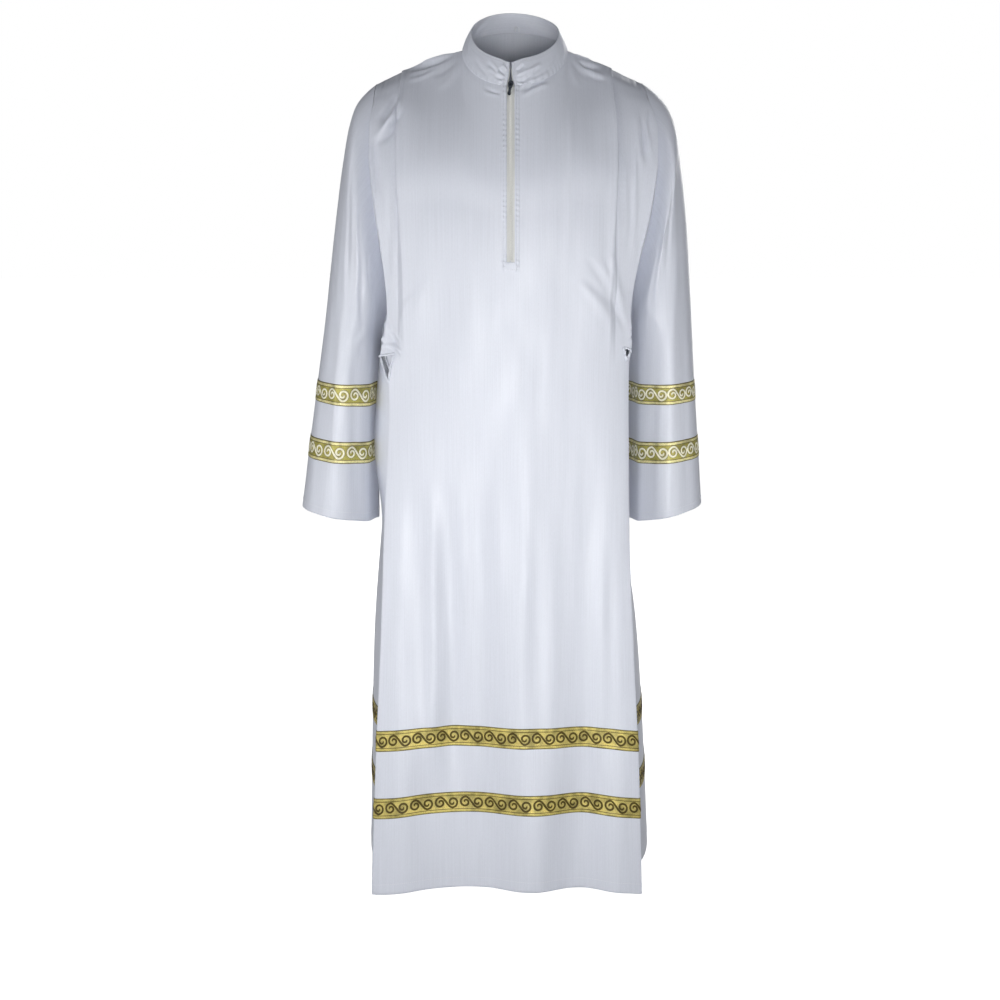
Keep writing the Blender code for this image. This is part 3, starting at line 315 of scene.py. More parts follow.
# Creases, one by one: ends as place across and drop, sideways bow, half width, height and lean.
FRONT_CREASES = table(
    "x0 drop0 x1 drop1 bow wide rise lean",
    (-170, 62, -204, 118, 4, 5.5, -4.8, 1),
    (-166, 78, -203, 134, 4, 5.5, 4.2, 1),
    (-163, 94, -204, 150, 3, 5, -4.6, -1),
    (-206, 128, -199, 235, -4, 4.5, -4.2, -1),
    (-188, 150, -192, 300, 2, 6.5, 1.8, 1),
    (-176, 150, -178, 400, 0, 5.5, 1.8, 1),
    (-150, 190, -158, 400, 3, 13, -1.8, 0),
    (203, 110, 205, 175, -2, 4, -3.6, 1),
    (193, 95, 199, 190, -2, 5, 2, 1),
    (212, 90, 213, 145, -2, 3.5, -2, -1),
    (186, 110, 187, 330, 1, 4.5, 1.8, -1),
    (171, 165, 176, 300, 1, 5.5, 1.4, 1),
    (140, 180, 146, 360, -2, 11, -1.4, 0),
    (112, 310, 163, 415, 6, 7, -2, 1),
    (98, 345, 158, 428, 5, 7.5, 1.8, 1),
    (144, 295, 170, 405, 4, 6, 1.8, -1),
    (150, 375, 176, 432, 3, 4, -1.6, 1),
    (-120, 330, -172, 420, -6, 8, -1.2, 1),
    (-140, 360, -176, 436, -4, 5.5, 1.4, 1),
    (-198, 398, -182, 446, 2, 3.6, 2.8, 1),
    (-192, 420, -172, 456, 2, 3.6, -3, 1),
    (-186, 446, -164, 462, 1, 3.4, 2.6, -1),
    (-80, 12, -122, 46, 4, 4.5, -1.8, 1),
    (-78, 22, -112, 66, 4, 5, 1.4, 1),
    (94, 12, 124, 50, -4, 4, -1.6, 1),
    (90, 20, 110, 62, -4, 4.5, 1.2, -1),
    (-86, 5, -150, 22, 2, 3.2, 3.4, 1),
    (-100, 16, -165, 34, 3, 3.4, -3.2, 1),
    (-110, 30, -160, 52, 3, 3.4, 1.6, -1),
    (98, 6, 128, 18, 2, 3, 3.6, 1),
    (104, 18, 140, 34, -2, 3.2, -3.4, 1),
    (112, 28, 150, 48, -2, 3.4, 2.8, -1),
    (14, 70, 54, 50, 2, 2.8, -3.2, 1),
    (16, 78, 62, 56, 3, 3.2, 2.8, 1),
    (-14, 72, -40, 62, 1, 2.6, -2.2, 1),
    (-150, 580, -152, 1080, 4, 22, -4.5, 0),
    (-122, 620, -120, 1180, 2, 12, 3.2, 1),
    (-97, 600, -90, 1200, 3, 17, -4.2, 1),
    (-21, 560, -24, 1250, 4, 20, 3, -1),
    (41, 680, 44, 1240, -3, 18, -4.8, 1),
    (96, 560, 100, 1200, 2, 20, 3, 1),
    (152, 700, 160, 1220, 2, 12, -2.8, -1),
    (-60, 230, -70, 520, 6, 26, 1.6, 0),
    (60, 260, 78, 560, 6, 24, -1.6, 0),
    plain="lean",
)
# Hand slits in the tops of the side pleats: corners as place across and drop, and how the cloth bunches.
SLITS = {"left": ((-1.050, 0.4690), (-0.932, 0.4610), (-0.985, 0.5050)),
         "right": ((0.925, 0.4520), (0.992, 0.4560), (0.958, 0.4740))}
BUNCHES = table(
    "hand drop above below out",
    (-1, 466, 40, 26, 12.5),
    (1, 452, 40, 18, 5),
    plain="hand",
)
BUNCH_STARTS = (0.93, 0.09)       # place across where a bunch starts to stand out, and over what width
BUNCH_ENDS = (1.06, 0.19)
CRUMPLED = 0.32           # how much of a bunch its crumples are
PLACKET_OUT = 0.0117      # where the placket's turned layer ends, and over what width
PLACKET_EDGE = 0.0012
PLACKET_STITCH = 0.0100
PLACKET_RISE = 0.0008
PLACKET_GROOVE = 0.0009   # depth and half width of the groove along the stitches
GROOVE_HALF = 0.0008
PLACKET_END = 0.334
PUCKER_PITCH = 0.0077
PUCKER_RISE = 0.0010
PUCKER_HALF = 0.0028
DRAWN_RISE = 0.0009       # small pleats that the neck's seam draws, and how far down they reach
DRAWN_REACH = 0.040


def side(a, left, right):
    """The left or the right value, by the sign of the place across."""
    return np.where(np.asarray(a) < 0, left, right)


TOP_EDGE = {-1: BODY["left"][0], 1: BODY["right"][0]}


def neckline(x, depth, slope):
    """Forward distance and drop of the neck's base at x; both are those of the shoulder outside it."""
    half = side(x, NECK_LEFT, NECK_RIGHT)
    out = depth * np.sqrt(np.clip(1 - (x / half) ** 2, 0.0, 1.0))
    beyond = np.clip(np.abs(x) - half, 0.0, None)
    sunk = side(x, *SHOULDER_SLOPE) * beyond
    curved = side(x, *SHOULDER_CURVE) * beyond ** 2
    return out, NECK_SIDE_DROP + slope * out + sunk + curved


def rail(along, hand):
    """Middle, half vector towards the outer end and half depth of the sleeve ring at `along`."""
    outer_x, outer_drop, inner_x, inner_drop, depth = (
        smooth(SLEEVE_RINGS[hand], "along", name, along)
        for name in ("outer_x", "outer_drop", "inner_x", "inner_drop", "depth"))
    middle = (hand * (outer_x + inner_x) / 2, -(outer_drop + inner_drop) / 2)
    reach = (hand * (outer_x - inner_x) / 2, -(outer_drop - inner_drop) / 2)
    return middle, reach, depth


def ring_depth(c):
    """How deep a sleeve ring is at c between its rails (-1 to 1), as a share of its half depth."""
    return np.clip(1 - np.abs(c) ** ARMHOLE_ROUND, 0.0, 1.0) ** (1 / ARMHOLE_ROUND)


def armhole(hand, fall):
    """Place and half depth of the armhole's curve, from the shoulder (fall 0) to the underarm (1)."""
    middle, reach, depth = rail(0.0, hand)
    c = 1 - 2 * np.asarray(fall, dtype=float)
    x = middle[0] + reach[0] * c + hand * ARMHOLE_BULGE[hand] * (1 - c * c)
    return x, middle[1] + reach[1] * c, depth * ring_depth(c)


def tuck_shift(a, drop):
    """Sideways and outward shift of the front by its two tucks at the place a (metres across)."""
    over = np.zeros_like(a)
    proud = np.zeros_like(a)
    for x, hold, gone, flat in zip(*TUCKS.values()):
        hand = math.copysign(1.0, x)
        q = (hand * a - abs(x)) / TUCK_HALF
        closed = 1 - ease((drop - hold) / (gone - hold))
        raised = 1 - ease((drop - gone) / (flat - gone))
        raised = raised * (TUCK_SEWN + (1 - TUCK_SEWN) * ease((drop - TUCK_SEWN_TO[0]) / TUCK_SEWN_TO[1]))
        inside = np.abs(q) <= 1
        folded = smooth(TUCK_SECTION, "q", "over", q)
        over = over + np.where(inside, hand * closed * (folded - q * TUCK_HALF), 0.0)
        settle = TUCK_SECTION["proud"][0] * (1 - ease((-1 - q) * TUCK_HALF / TUCK_BLEND))
        height = np.where(q < -1, settle, smooth(TUCK_SECTION, "q", "proud", q))
        proud = proud + raised * np.where(q > 1, 0.0, height) * (hand * a > 0)
    return over, proud


def fold_rise(folds, x, drop):
    """Outward rise of the soft folds at x and drop."""
    rise = np.zeros_like(x)
    for top, x_top, x_hem, wide_top, wide_hem, full in zip(*folds.values()):
        grown = ease((drop - top) / (HEM - top)) ** FOLD_GROWTH
        place = x_top + (x_hem - x_top) * grown
        width = wide_top + (wide_hem - wide_top) * grown
        rise = rise + full * grown * bell((x - place) / width)
    return rise


def crease_rise(creases, x, drop):
    """Outward rise of the listed creases; each fades at its ends and leans to one side."""
    rise = np.zeros_like(x)
    for x0, drop0, x1, drop1, bow, wide, full, lean in zip(*creases.values()):
        run = math.hypot(x1 - x0, drop1 - drop0)
        along_x = (x1 - x0) / run
        along_z = (drop1 - drop0) / run
        part = ((x - x0) * along_x + (drop - drop0) * along_z) / run
        off = (x - x0) * along_z - (drop - drop0) * along_x - bow * 4 * part * (1 - part)
        q = off / (wide * (0.75 + 0.5 * np.clip(part, 0, 1)))
        shown = ease(part * 3) * ease((1 - part) * 3)
        hollow = CREASE_SIDE * np.abs(lean) * bell(q - CREASE_OFF * lean)
        rise = rise + full * shown * (bell(q) - hollow)
    return rise


def drift(x, drop):
    """Slight unevenness of hanging satin, longer down the cloth than across it."""
    low = np.sin(x * 47 + 1.3 * np.sin(drop * 6.1) + 0.4) * np.sin(drop * 9.0 + 5.0 * x + 1.1)
    mid = np.sin(x * 96 + drop * 11 + 2.0) * np.sin(drop * 17 - x * 23 + 0.7)
    fine = np.sin(x * 190 - drop * 29 + 0.9) * np.sin(drop * 37 + x * 71 + 2.4)
    return 0.0009 * low + 0.00045 * mid + 0.00016 * fine


def panel_drop(x_top, slope, depth, centre_top, line):
    """Drop and fall of a panel's point: spread from the shoulder to the underarm, then level."""
    _, top = neckline(x_top, depth, slope)
    fall = np.clip((line - centre_top) / (UNDERARM - centre_top), 0.0, 1.0)
    return np.where(line < UNDERARM, top + (UNDERARM - top) * fall, line), fall


def shoulder_out(a, fall):
    """How far out a panel is at this fall: slower by the neck, rounder at the shoulder's point."""
    near = smooth(SHOULDER, "fall", "neck", fall)
    far = smooth(SHOULDER, "fall", "point", fall)
    return near + (far - near) * ease((np.abs(a) - SETTLED_AT) / (1 - SETTLED_AT))


def body(name, drop):
    """A column of the body's sections at this drop."""
    return smooth(BODY, "drop", name, drop)


def seam_point(hand, fall, drop):
    """The panel's side edge: the armhole above the underarm and the side seam below it."""
    below = drop > UNDERARM
    arm_x, arm_z, arm_out = armhole(hand, fall)
    column = "left" if hand < 0 else "right"
    x = np.where(below, hand * smooth(SIDE_SEAM, "drop", column, drop), arm_x)
    forward = smooth(SIDE_SEAM, "drop", "forward", drop)
    return x, np.where(below, -drop, arm_z), arm_out, forward, below


def front_base(a, line):
    """Front panel without tucks and folds; a runs from -SEAM_PLACE on the left to SEAM_PLACE."""
    a, line = arrays(a, line)
    top_edge = side(a, TOP_EDGE[-1], TOP_EDGE[1])
    face = np.clip(a, -1.0, 1.0)
    drop, fall = panel_drop(face * top_edge, NECK_FRONT_SLOPE, NECK_FRONT, FRONT_TOP, line)
    edge = side(a, body("left", drop), body("right", drop))
    middle_y = body("front", drop)
    edge_y = body("edge", drop)
    forward = edge_y + (middle_y - edge_y) * (1 - np.abs(face) ** FRONT_ROUND)
    neck_y, _ = neckline(face * top_edge, NECK_FRONT, NECK_FRONT_SLOPE)
    out = shoulder_out(a, fall)
    x = face * top_edge + np.sign(face) * (edge - top_edge) * np.abs(face) ** EDGE_SHARE
    y = -(neck_y + (forward - neck_y) * out)
    z = -drop - HEM_DROOP * ease((drop - PLEAT_TOP) / (HEM - PLEAT_TOP)) * face ** 4
    turn = np.clip((np.abs(a) - 1) / (SEAM_PLACE - 1), 0.0, 1.0)
    for hand in (-1, 1):
        arm_x, arm_z, arm_out, seam_y, below = seam_point(hand, fall, drop)
        seam_forward = np.where(below, seam_y, arm_out)
        near = (turn > 0) & (a * hand > 0)
        round_out = EDGE_BULGE * np.sin(math.pi * turn) * ease(fall * SEAM_LAID / 2)
        x = np.where(near, x + (arm_x - x) * turn + hand * round_out, x)
        y = np.where(near, y + (-seam_forward - y) * turn, y)
        z = np.where(near, z + (arm_z - z) * turn, z)
    return np.stack([x, y, z], axis=-1), drop


def placket_rise(x, drop):
    """The turned layer beside the zip, sunk and puckered along its row of stitches."""
    across = np.abs(x)
    shown = 1 - ease((drop - PLACKET_END) / 0.002)
    layer = PLACKET_RISE * (1 - ease((across - PLACKET_OUT) / PLACKET_EDGE))
    groove = -PLACKET_GROOVE * bell((across - PLACKET_STITCH) / GROOVE_HALF)
    swell = np.sin(2 * math.pi * drop / PUCKER_PITCH + np.where(x > 0, 1.2, 0.0)) * np.sin(drop * 31 + 0.5)
    pucker = PUCKER_RISE * swell * bell((across - PLACKET_STITCH) / PUCKER_HALF)
    return shown * (layer + groove + pucker)


def unit(vectors):
    """The vectors, each one long."""
    return vectors / np.linalg.norm(vectors, axis=-1, keepdims=True)


def outward(point, s, t, step=0.0008):
    """Unit normals of a cloth surface, from small steps across and down."""
    down = point(s, t + step) - point(s, t - step)
    return unit(np.cross(down, point(s + step, t) - point(s - step, t)))


def front_cloth(a, line):
    """The front's cloth at `a` across and the level `line` of its middle."""
    a, line = arrays(a, line)
    drop = front_base(a, line)[1]
    normal = outward(lambda s, t: front_base(s, t)[0], a, line, 0.004)
    half = side(a, TOP_EDGE[-1], TOP_EDGE[1])
    over, proud = tuck_shift(a * half, drop)
    moved, drop = front_base(a + over / half, line)
    x = moved[..., 0]
    for hand, at, high, low, out in zip(*BUNCHES.values()):
        reach = bell((drop - at) / np.where(drop < at, high, low))
        starts, ends = ((a * hand - place) / wide for place, wide in (BUNCH_STARTS, BUNCH_ENDS))
        crumpled = np.sin(drop * 380 + a * 24) * np.sin(drop * 151 + 1) * ease((at - 0.004 - drop) / 0.012)
        bunched = reach * ease(starts) * (1 - ease(ends)) * (1 + CRUMPLED * crumpled)
        moved = moved + hand * out * bunched[..., None] * np.array([1.0, 0.0, 0.0])
    inside = 1 - ease((np.abs(a) - FOLDS_END) / FOLDS_FADE)
    soft = fold_rise(FRONT_FOLDS, x, drop) + crease_rise(FRONT_CREASES, x, drop) + drift(x, drop)
    fall = (line - FRONT_TOP) / (UNDERARM - FRONT_TOP)
    drawn = np.sin(x * 620 + 2.5 * np.sin(x * 71 + 1) + fall * 30) * (0.6 + 0.4 * np.sin(x * 157 + 2))
    drawn = DRAWN_RISE * drawn * ease(fall * 90) * np.exp(-fall / DRAWN_REACH)
    return moved + normal * (proud + inside * (soft + drawn) + placket_rise(x, drop))[..., None]


HEM_ROWS = np.array([0.0005, 0.002, 0.006, 0.013, 0.018])      # turned rows, by their distance past the edge
EDGE_IN = 0.0007          # how far inside the satin a turned edge's fold lies
LAYER_IN = 0.0014         # and how far its turned layer


def turned_hem(point, s, level, depth):
    """Rows that fold a sheet's lower edge under and a little way up its inside."""
    normal = outward(point, s, level)
    rows = [point(s, level) - normal * EDGE_IN - np.array([0, 0, HEM_ROWS[0]])]
    for part in (0.08, 0.35, 0.7, 1.0):
        rows.append(point(s, level - depth * part) - normal * LAYER_IN)
    return np.array(rows)


def quads(name, points, faces, uv):
    """A smooth mesh of four-sided faces, with its own UV map in metres across and down."""
    mesh = bpy.data.meshes.new(name)
    mesh.from_pydata(points.reshape(-1, 3).tolist(), [], faces.reshape(-1, 4).tolist())
    mesh.uv_layers.new(name="cloth").data.foreach_set("uv", uv.reshape(-1))
    mesh.shade_smooth()
    return linked(name, mesh)


def cloth_mesh(name, points, across, down, closed=False, hidden=None):
    """A sheet of quads on a grid of points, less the hidden ones."""
    rows, columns = points.shape[:2]
    cells = columns if closed else columns - 1
    r, c = np.meshgrid(np.arange(rows - 1), np.arange(cells), indexing="ij")
    shown = np.ones(r.shape, dtype=bool) if hidden is None else ~hidden
    r, c = r[shown], c[shown]
    after = (c + 1) % columns
    corners = np.stack([r * columns + c, (r + 1) * columns + c, (r + 1) * columns + after,
                        r * columns + after], axis=-1)
    used, faces = np.unique(corners, return_inverse=True)
    u = np.stack([across[c], across[c], across[c + 1], across[c + 1]], axis=-1)
    v = np.stack([down[r], down[r + 1], down[r + 1], down[r]], axis=-1)
    return quads(name, points.reshape(-1, 3)[used], faces, np.stack([u, v], axis=-1))


def on_cloth(tree):
    """A place in a piece's own UV map."""
    place = add(tree, "UVMap", {})
    place.uv_map = "cloth"
    return place


def noise(tree, across, down, detail=2.0, roughness=0.5):
    """Noise on the cloth, at a scale across it and a scale down it."""
    stretched = add(tree, "Mapping", {"Vector": on_cloth(tree), "Scale": (across, down, 1)})
    return add(tree, "TexNoise", {"Vector": stretched, "Scale": 1.0, "Detail": detail,
                                  "Roughness": roughness})


def reckoned(tree, operation, *inputs):
    """A math node on these inputs."""
    node = tree.nodes.new("ShaderNodeMath")
    node.operation = operation
    return feed(node, dict(enumerate(inputs)))


def ranged(tree, value, lowest, highest, dim, bright):
    """A value from lowest to highest, stretched to run from dim to bright."""
    return add(tree, "MapRange", {"Value": value, "From Min": lowest, "From Max": highest,
                                  "To Min": dim, "To Max": bright})


def bumped(tree, height, strength, distance, **over):
    """A bump of a height, over another bump if one is named as Normal."""
    return add(tree, "Bump", {"Height": height, "Strength": strength, "Distance": distance, **over})


def ramp(tree, value, stops, between):
    """A colour ramp with these stops of place and colour, and this kind of change between them."""
    made = add(tree, "ValToRGB", {"Fac": value})
    made.color_ramp.interpolation = between
    elements = made.color_ramp.elements
    while len(elements) < len(stops):
        elements.new(0.5)
    for element, (place, colour) in zip(elements, stops):
        element.position = place
        element.color = (*colour, 1)
    return made


def satin(name, colour, roughness, weave):
    """White polyester satin: long warp floats that catch the light, over a barely seen weave."""
    made, tree, shader = material(name, {
        "Metallic": 0.0, "Anisotropic": 0.45, "Sheen Weight": 0.22, "Sheen Roughness": 0.35,
        "Specular IOR Level": 0.62})
    warp = noise(tree, 2600, 210, 3.0)
    weft = noise(tree, 170, 1900)
    soft = noise(tree, 34, 11, 4.0, 0.45)
    streak = noise(tree, 620, 9, 3.0)
    threads = reckoned(tree, "MULTIPLY_ADD", weft, 0.35, warp)
    streaked = reckoned(tree, "MULTIPLY_ADD", streak, 0.9, threads)
    tint = ramp(tree, reckoned(tree, "MULTIPLY", streaked, 0.5),
                [(0.38, [c * 0.90 for c in colour]), (0.72, colour)], "LINEAR")
    lie = add(tree, "Tangent", {})
    lie.direction_type = "UV_MAP"
    lie.uv_map = "cloth"
    ripple = bumped(tree, soft, 0.5, 0.0011)
    feed(shader, {"Base Color": tint, "Tangent": lie,
                  "Roughness": ranged(tree, soft, 0.3, 0.7, roughness - 0.05, roughness + 0.07),
                  "Normal": bumped(tree, threads, weave, 0.00005, Normal=ripple)})
    return made


SATIN_COLOUR = (0.74, 0.765, 0.84)
body_satin = satin("body_satin", SATIN_COLOUR, 0.40, 0.35)


def dress(piece, node, finish):
    """The finish and body of a piece that stands for one CAD node, whose own part is hidden."""
    piece.data.materials.append(finish)
    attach(piece, "garment")
    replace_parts(piece, node)


front_places = [np.linspace(-1, 1, 110)]        # columns lie closer at the tucks, the zip and the side folds
for (hand, half), tuck in zip(TOP_EDGE.items(), TUCKS["x"]):
    front_places += [hand * np.linspace(1.0, SEAM_PLACE, 12),
                     (tuck + hand * np.linspace(-1, 1, 19) * TUCK_HALF) / half,
                     hand * np.linspace(SLOT_HALF, 0.0145, 9) / half, hand * np.linspace(0.90, 1.07, 37)]
front_across = np.unique(np.concatenate(front_places).round(6))
slot_left, slot_right = (round(hand * SLOT_HALF / half, 6) for hand, half in TOP_EDGE.items())
front_rows = np.unique(np.concatenate([
    FRONT_TOP + (UNDERARM - FRONT_TOP) * np.linspace(0, 1, 150) ** ROWS_CLOSER, [ZIP_END],
    np.linspace(0.43, 0.52, 40), np.linspace(UNDERARM, HEM, 175)]).round(6))
front_points = front_cloth(front_across[None, :], front_rows[:, None])
front_hem = turned_hem(front_cloth, front_across, HEM, HEM_TURNED)
between = (front_across[:-1] >= slot_left - TINY) & (front_across[1:] <= slot_right + TINY)
above = front_rows[1:] <= ZIP_END + TINY
front_hidden = np.zeros((len(front_rows) + len(front_hem) - 1, len(front_across) - 1), dtype=bool)
front_hidden[:len(above)] = above[:, None] & between[None, :]
cell_a = ((front_across[:-1] + front_across[1:]) / 2)[None, :]
cell_drop = ((front_rows[:-1] + front_rows[1:]) / 2)[:, None]
for corners in SLITS.values():
    slit_open = True
    for (a0, d0), (a1, d1) in zip(corners, corners[1:] + corners[:1]):
        slit_open = slit_open & ((a1 - a0) * (cell_drop - d0) - (d1 - d0) * (cell_a - a0) > 0)
    front_hidden[:len(front_rows) - 1] |= slit_open
front_down = np.concatenate([front_rows, HEM + HEM_ROWS])
front = cloth_mesh("front_cloth", np.concatenate([front_points, front_hem]), front_across * FRONT_HALF,
                   front_down, hidden=front_hidden)
dress(front, "front", body_satin)

# Slit edges: the satin is rolled and sewn round each hand slit.
LIP_RADIUS = 0.0017
LIP_STEPS = 26
FACING_DEPTH = 0.0080      # the pocket facing shows this far behind the slit
FACING_PAST = np.array([0.02, 0.004])     # and reaches past it, across and down


def slit_lip(corners):
    """Path and normals of the rolled edge round a hand slit, with its corners rounded."""
    path = []
    for start, end in zip(corners, corners[1:] + corners[:1]):
        path.append(np.linspace(start, end, LIP_STEPS)[:-1])
    path = np.concatenate(path)
    for _ in range(5):
        path = (np.roll(path, 1, axis=0) + 2 * path + np.roll(path, -1, axis=0)) / 4
    path = np.concatenate([path, path[:1]])
    normal = outward(front_cloth, path[:, 0], path[:, 1])
    return front_cloth(path[:, 0], path[:, 1]) + normal * LIP_RADIUS / 2, normal


def cords(name, centres, normals, radii, sides, finish):
    """Many round cords in one mesh, from centres of shape (cord, along, 3)."""
    run = unit(np.gradient(centres, axis=1))
    across = unit(np.cross(normals, run))
    up = np.cross(run, across)
    t = np.arange(sides) * 2 * math.pi / sides
    ring = across[:, :, None] * np.cos(t)[:, None] - up[:, :, None] * np.sin(t)[:, None]
    points = centres[:, :, None] + ring * radii[..., None, None]
    return ribbons(name, points, finish, closed=True)


def ribbons(name, points, finish, uv=None, closed=False):
    """Many narrow strips in one mesh, from points of shape (strip, along, across, 3), with a finish, on the
    garment's body.
    """
    count, rows, columns = points.shape[:3]
    cells = columns if closed else columns - 1
    k, r, c = np.meshgrid(np.arange(count), np.arange(rows - 1), np.arange(cells), indexing="ij")
    start = (k * rows + r) * columns
    after = (c + 1) % columns
    faces = np.stack([start + c, start + columns + c, start + columns + after, start + after], axis=-1)
    if uv is None:
        uv = np.stack(np.broadcast_arrays(points[..., 0], points[..., 2]), axis=-1)
    piece = quads(name, points, faces, uv.reshape(-1, 2)[faces.reshape(-1)])
    piece.data.materials.append(finish)
    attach(piece, "garment")
    return piece


for slit_name, corners in SLITS.items():
    lip_path, lip_out = slit_lip(corners)
    lip_thick = LIP_RADIUS * (1 + 0.25 * np.sin(np.arange(len(lip_path)) * 0.9))
    cords(f"slit_edge_{slit_name}", lip_path[None], lip_out[None], lip_thick[None], 10, body_satin)
    low_a, low_drop = np.min(corners, axis=0) - FACING_PAST
    high_a, high_drop = np.max(corners, axis=0) + FACING_PAST
    facing_a, facing_drop = np.meshgrid(np.linspace(low_a, high_a, 12), np.linspace(low_drop, high_drop, 12))
    facing_out = outward(front_cloth, facing_a, facing_drop)
    facing_points = front_cloth(facing_a, facing_drop) - facing_out * FACING_DEPTH
    ribbons(f"slit_facing_{slit_name}", facing_points[None], body_satin)

# Back: one panel of the same satin, sewn to the front at the shoulders and at the seams inside the side
# pleats. It is cut wider than the front, so it hangs in deeper upright folds and shows behind the front.
BACK_ROUND = 2.5
FOLD_SPREAD = 0.35
BACK_FOLDS = table(
    "top x_top x_hem wide_top wide_hem rise",
    (300, -150, -170, 28, 44, 16),
    (380, -85, -98, 26, 46, -15),
    (200, -30, -34, 30, 50, 18),
    (420, 30, 36, 24, 44, -14),
    (250, 88, 100, 30, 48, 17),
    (400, 146, 168, 24, 42, -12),
)
# Fullness that shows under the left arm: where down the back it starts, grows, ends and goes, and its width.
BACK_FULL = (0.345, 0.05, 0.60, 0.16, 0.024)
BACK_CREASES = table(
    "x0 drop0 x1 drop1 bow wide rise lean",
    (-70, 20, -150, 110, 6, 8, -2.2, 1),
    (-60, 40, -130, 150, 6, 9, 2, 1),
    (78, 20, 160, 120, -6, 8, -2.2, -1),
    (70, 45, 140, 160, -6, 9, 2, -1),
    (-178, 300, -110, 430, 6, 8, -2.4, 1),
    (-175, 330, -95, 480, 8, 9, 2.2, 1),
    (172, 300, 105, 440, -6, 8, -2.4, -1),
    (170, 335, 85, 500, -8, 9, 2.2, -1),
    (-50, 160, -58, 520, 4, 14, 2.2, 1),
    (15, 120, 22, 560, -4, 13, -2.4, 1),
    (60, 200, 66, 640, 3, 12, 2.2, -1),
    (-120, 560, -126, 1150, 4, 12, -3.2, 1),
    (-60, 620, -66, 1220, 3, 11, 3, -1),
    (4, 580, 0, 1200, -4, 12, -3.4, 1),
    (64, 660, 70, 1240, 3, 11, 2.8, 1),
    (126, 560, 134, 1180, 4, 12, -3, -1),
    (-196, 700, -208, 1200, 2, 9, 2.2, 1),
    (190, 760, 206, 1200, 2, 9, 2, -1),
    plain="lean",
)


def back_cloth(s, line):
    """The back's cloth; s runs from -SEAM_PLACE on the right side to SEAM_PLACE on the left."""
    a, line = arrays(-s, line)
    face = np.clip(a, -1.0, 1.0)
    top_edge = side(a, BODY["wide_left"][0], BODY["wide_right"][0])
    angle = face * math.pi / 2
    swing = np.sign(face) * np.abs(np.sin(angle)) ** (2 / BACK_ROUND)
    bow = np.abs(np.cos(angle)) ** (2 / BACK_ROUND)
    drop, fall = panel_drop(swing * top_edge, -NECK_BACK_SLOPE, NECK_BACK, BACK_TOP, line)
    wide = side(a, body("wide_left", drop), body("wide_right", drop))
    wide_y = body("wide_y", drop)
    back_y = body("back", drop)
    out = shoulder_out(swing, fall)
    neck_y, _ = neckline(swing * top_edge, NECK_BACK, -NECK_BACK_SLOPE)
    x = swing * wide
    y = neck_y + (wide_y + (back_y - wide_y) * bow - neck_y) * out
    z = -drop
    calm = ease(fall * 8)
    extra = (crease_rise(BACK_CREASES, x, drop) + drift(x + 0.31, drop)) * calm
    rise = fold_rise(BACK_FOLDS, x, drop) * bow + extra * bow ** 0.5
    start, grown, end, gone, full = BACK_FULL
    fullness = full * ease((drop - start) / grown) * (1 - ease((drop - end) / gone))
    x = x + rise * swing * FOLD_SPREAD - fullness * (a < 0) * np.abs(swing) ** 6
    y = y + rise + SEAM * (1 - ease(fall * SEAM_LAID))
    turn = np.clip((np.abs(a) - 1) / (SEAM_PLACE - 1), 0.0, 1.0)
    for hand in (-1, 1):
        arm_x, arm_z, arm_out, seam_y, below = seam_point(hand, fall, drop)
        seam_back = np.where(below, -seam_y, arm_out) + SEAM
        near = (turn > 0) & (a * hand > 0)
        corner_x = np.where(below, x, (x + arm_x) / 2)
        corner_y = np.where(below, -seam_y + SEAM, (y + seam_back) / 2)
        keep = (1 - turn) ** 2
        pull = 2 * turn * (1 - turn)
        x = np.where(near, keep * x + pull * corner_x + turn ** 2 * arm_x, x)
        y = np.where(near, keep * y + pull * corner_y + turn ** 2 * seam_back, y)
        z = np.where(near, z + (arm_z - z) * turn, z)
    return np.stack([x, y, z], axis=-1)


back_across = np.concatenate([np.linspace(-SEAM_PLACE, -1, 24)[:-1], np.linspace(-1, 1, 150),
                              np.linspace(1, SEAM_PLACE, 24)[1:]])
back_rows = np.concatenate([BACK_TOP + (UNDERARM - BACK_TOP) * np.linspace(0, 1, 120) ** ROWS_CLOSER,
                            np.linspace(UNDERARM, HEM, 240)[1:]])
back_points = np.concatenate([back_cloth(back_across[None, :], back_rows[:, None]),
                              turned_hem(back_cloth, back_across, HEM, HEM_TURNED)])
back_down = np.concatenate([back_rows, HEM + HEM_ROWS])
back = cloth_mesh("back_cloth", back_points, back_across * BACK_HALF, back_down)
dress(back, "back", body_satin)

# Sleeves: straight tubes of the satin, each sewn along its outer and inner edge, set in the armholes and
# hemmed at the cuff. They hang a little away from the body, with long soft folds from the shoulder.
BULGE_ENDS = 0.35
SLEEVE_CLEAR = 1.25
CLEAR_ENDS = 0.05
SLEEVE_FOLD_RISE = 0.0036
SLEEVE_FOLD_GROWS = 0.4
SLEEVE_BACK_SHARE = -0.8
SLEEVE_RAIL_FLAT = 6
SLEEVE_CREASE_SIDE = 0.4
SLEEVE_FOLDS = table(
    "start c_top c_cuff wide rise",
    (0.15, -0.3, -0.52, 0.22, -1),
    (0.3, 0.2, 0.1, 0.26, 0.8),
    (0.1, 0.62, 0.55, 0.18, -0.6),
    plain="start c_top c_cuff wide rise",
)
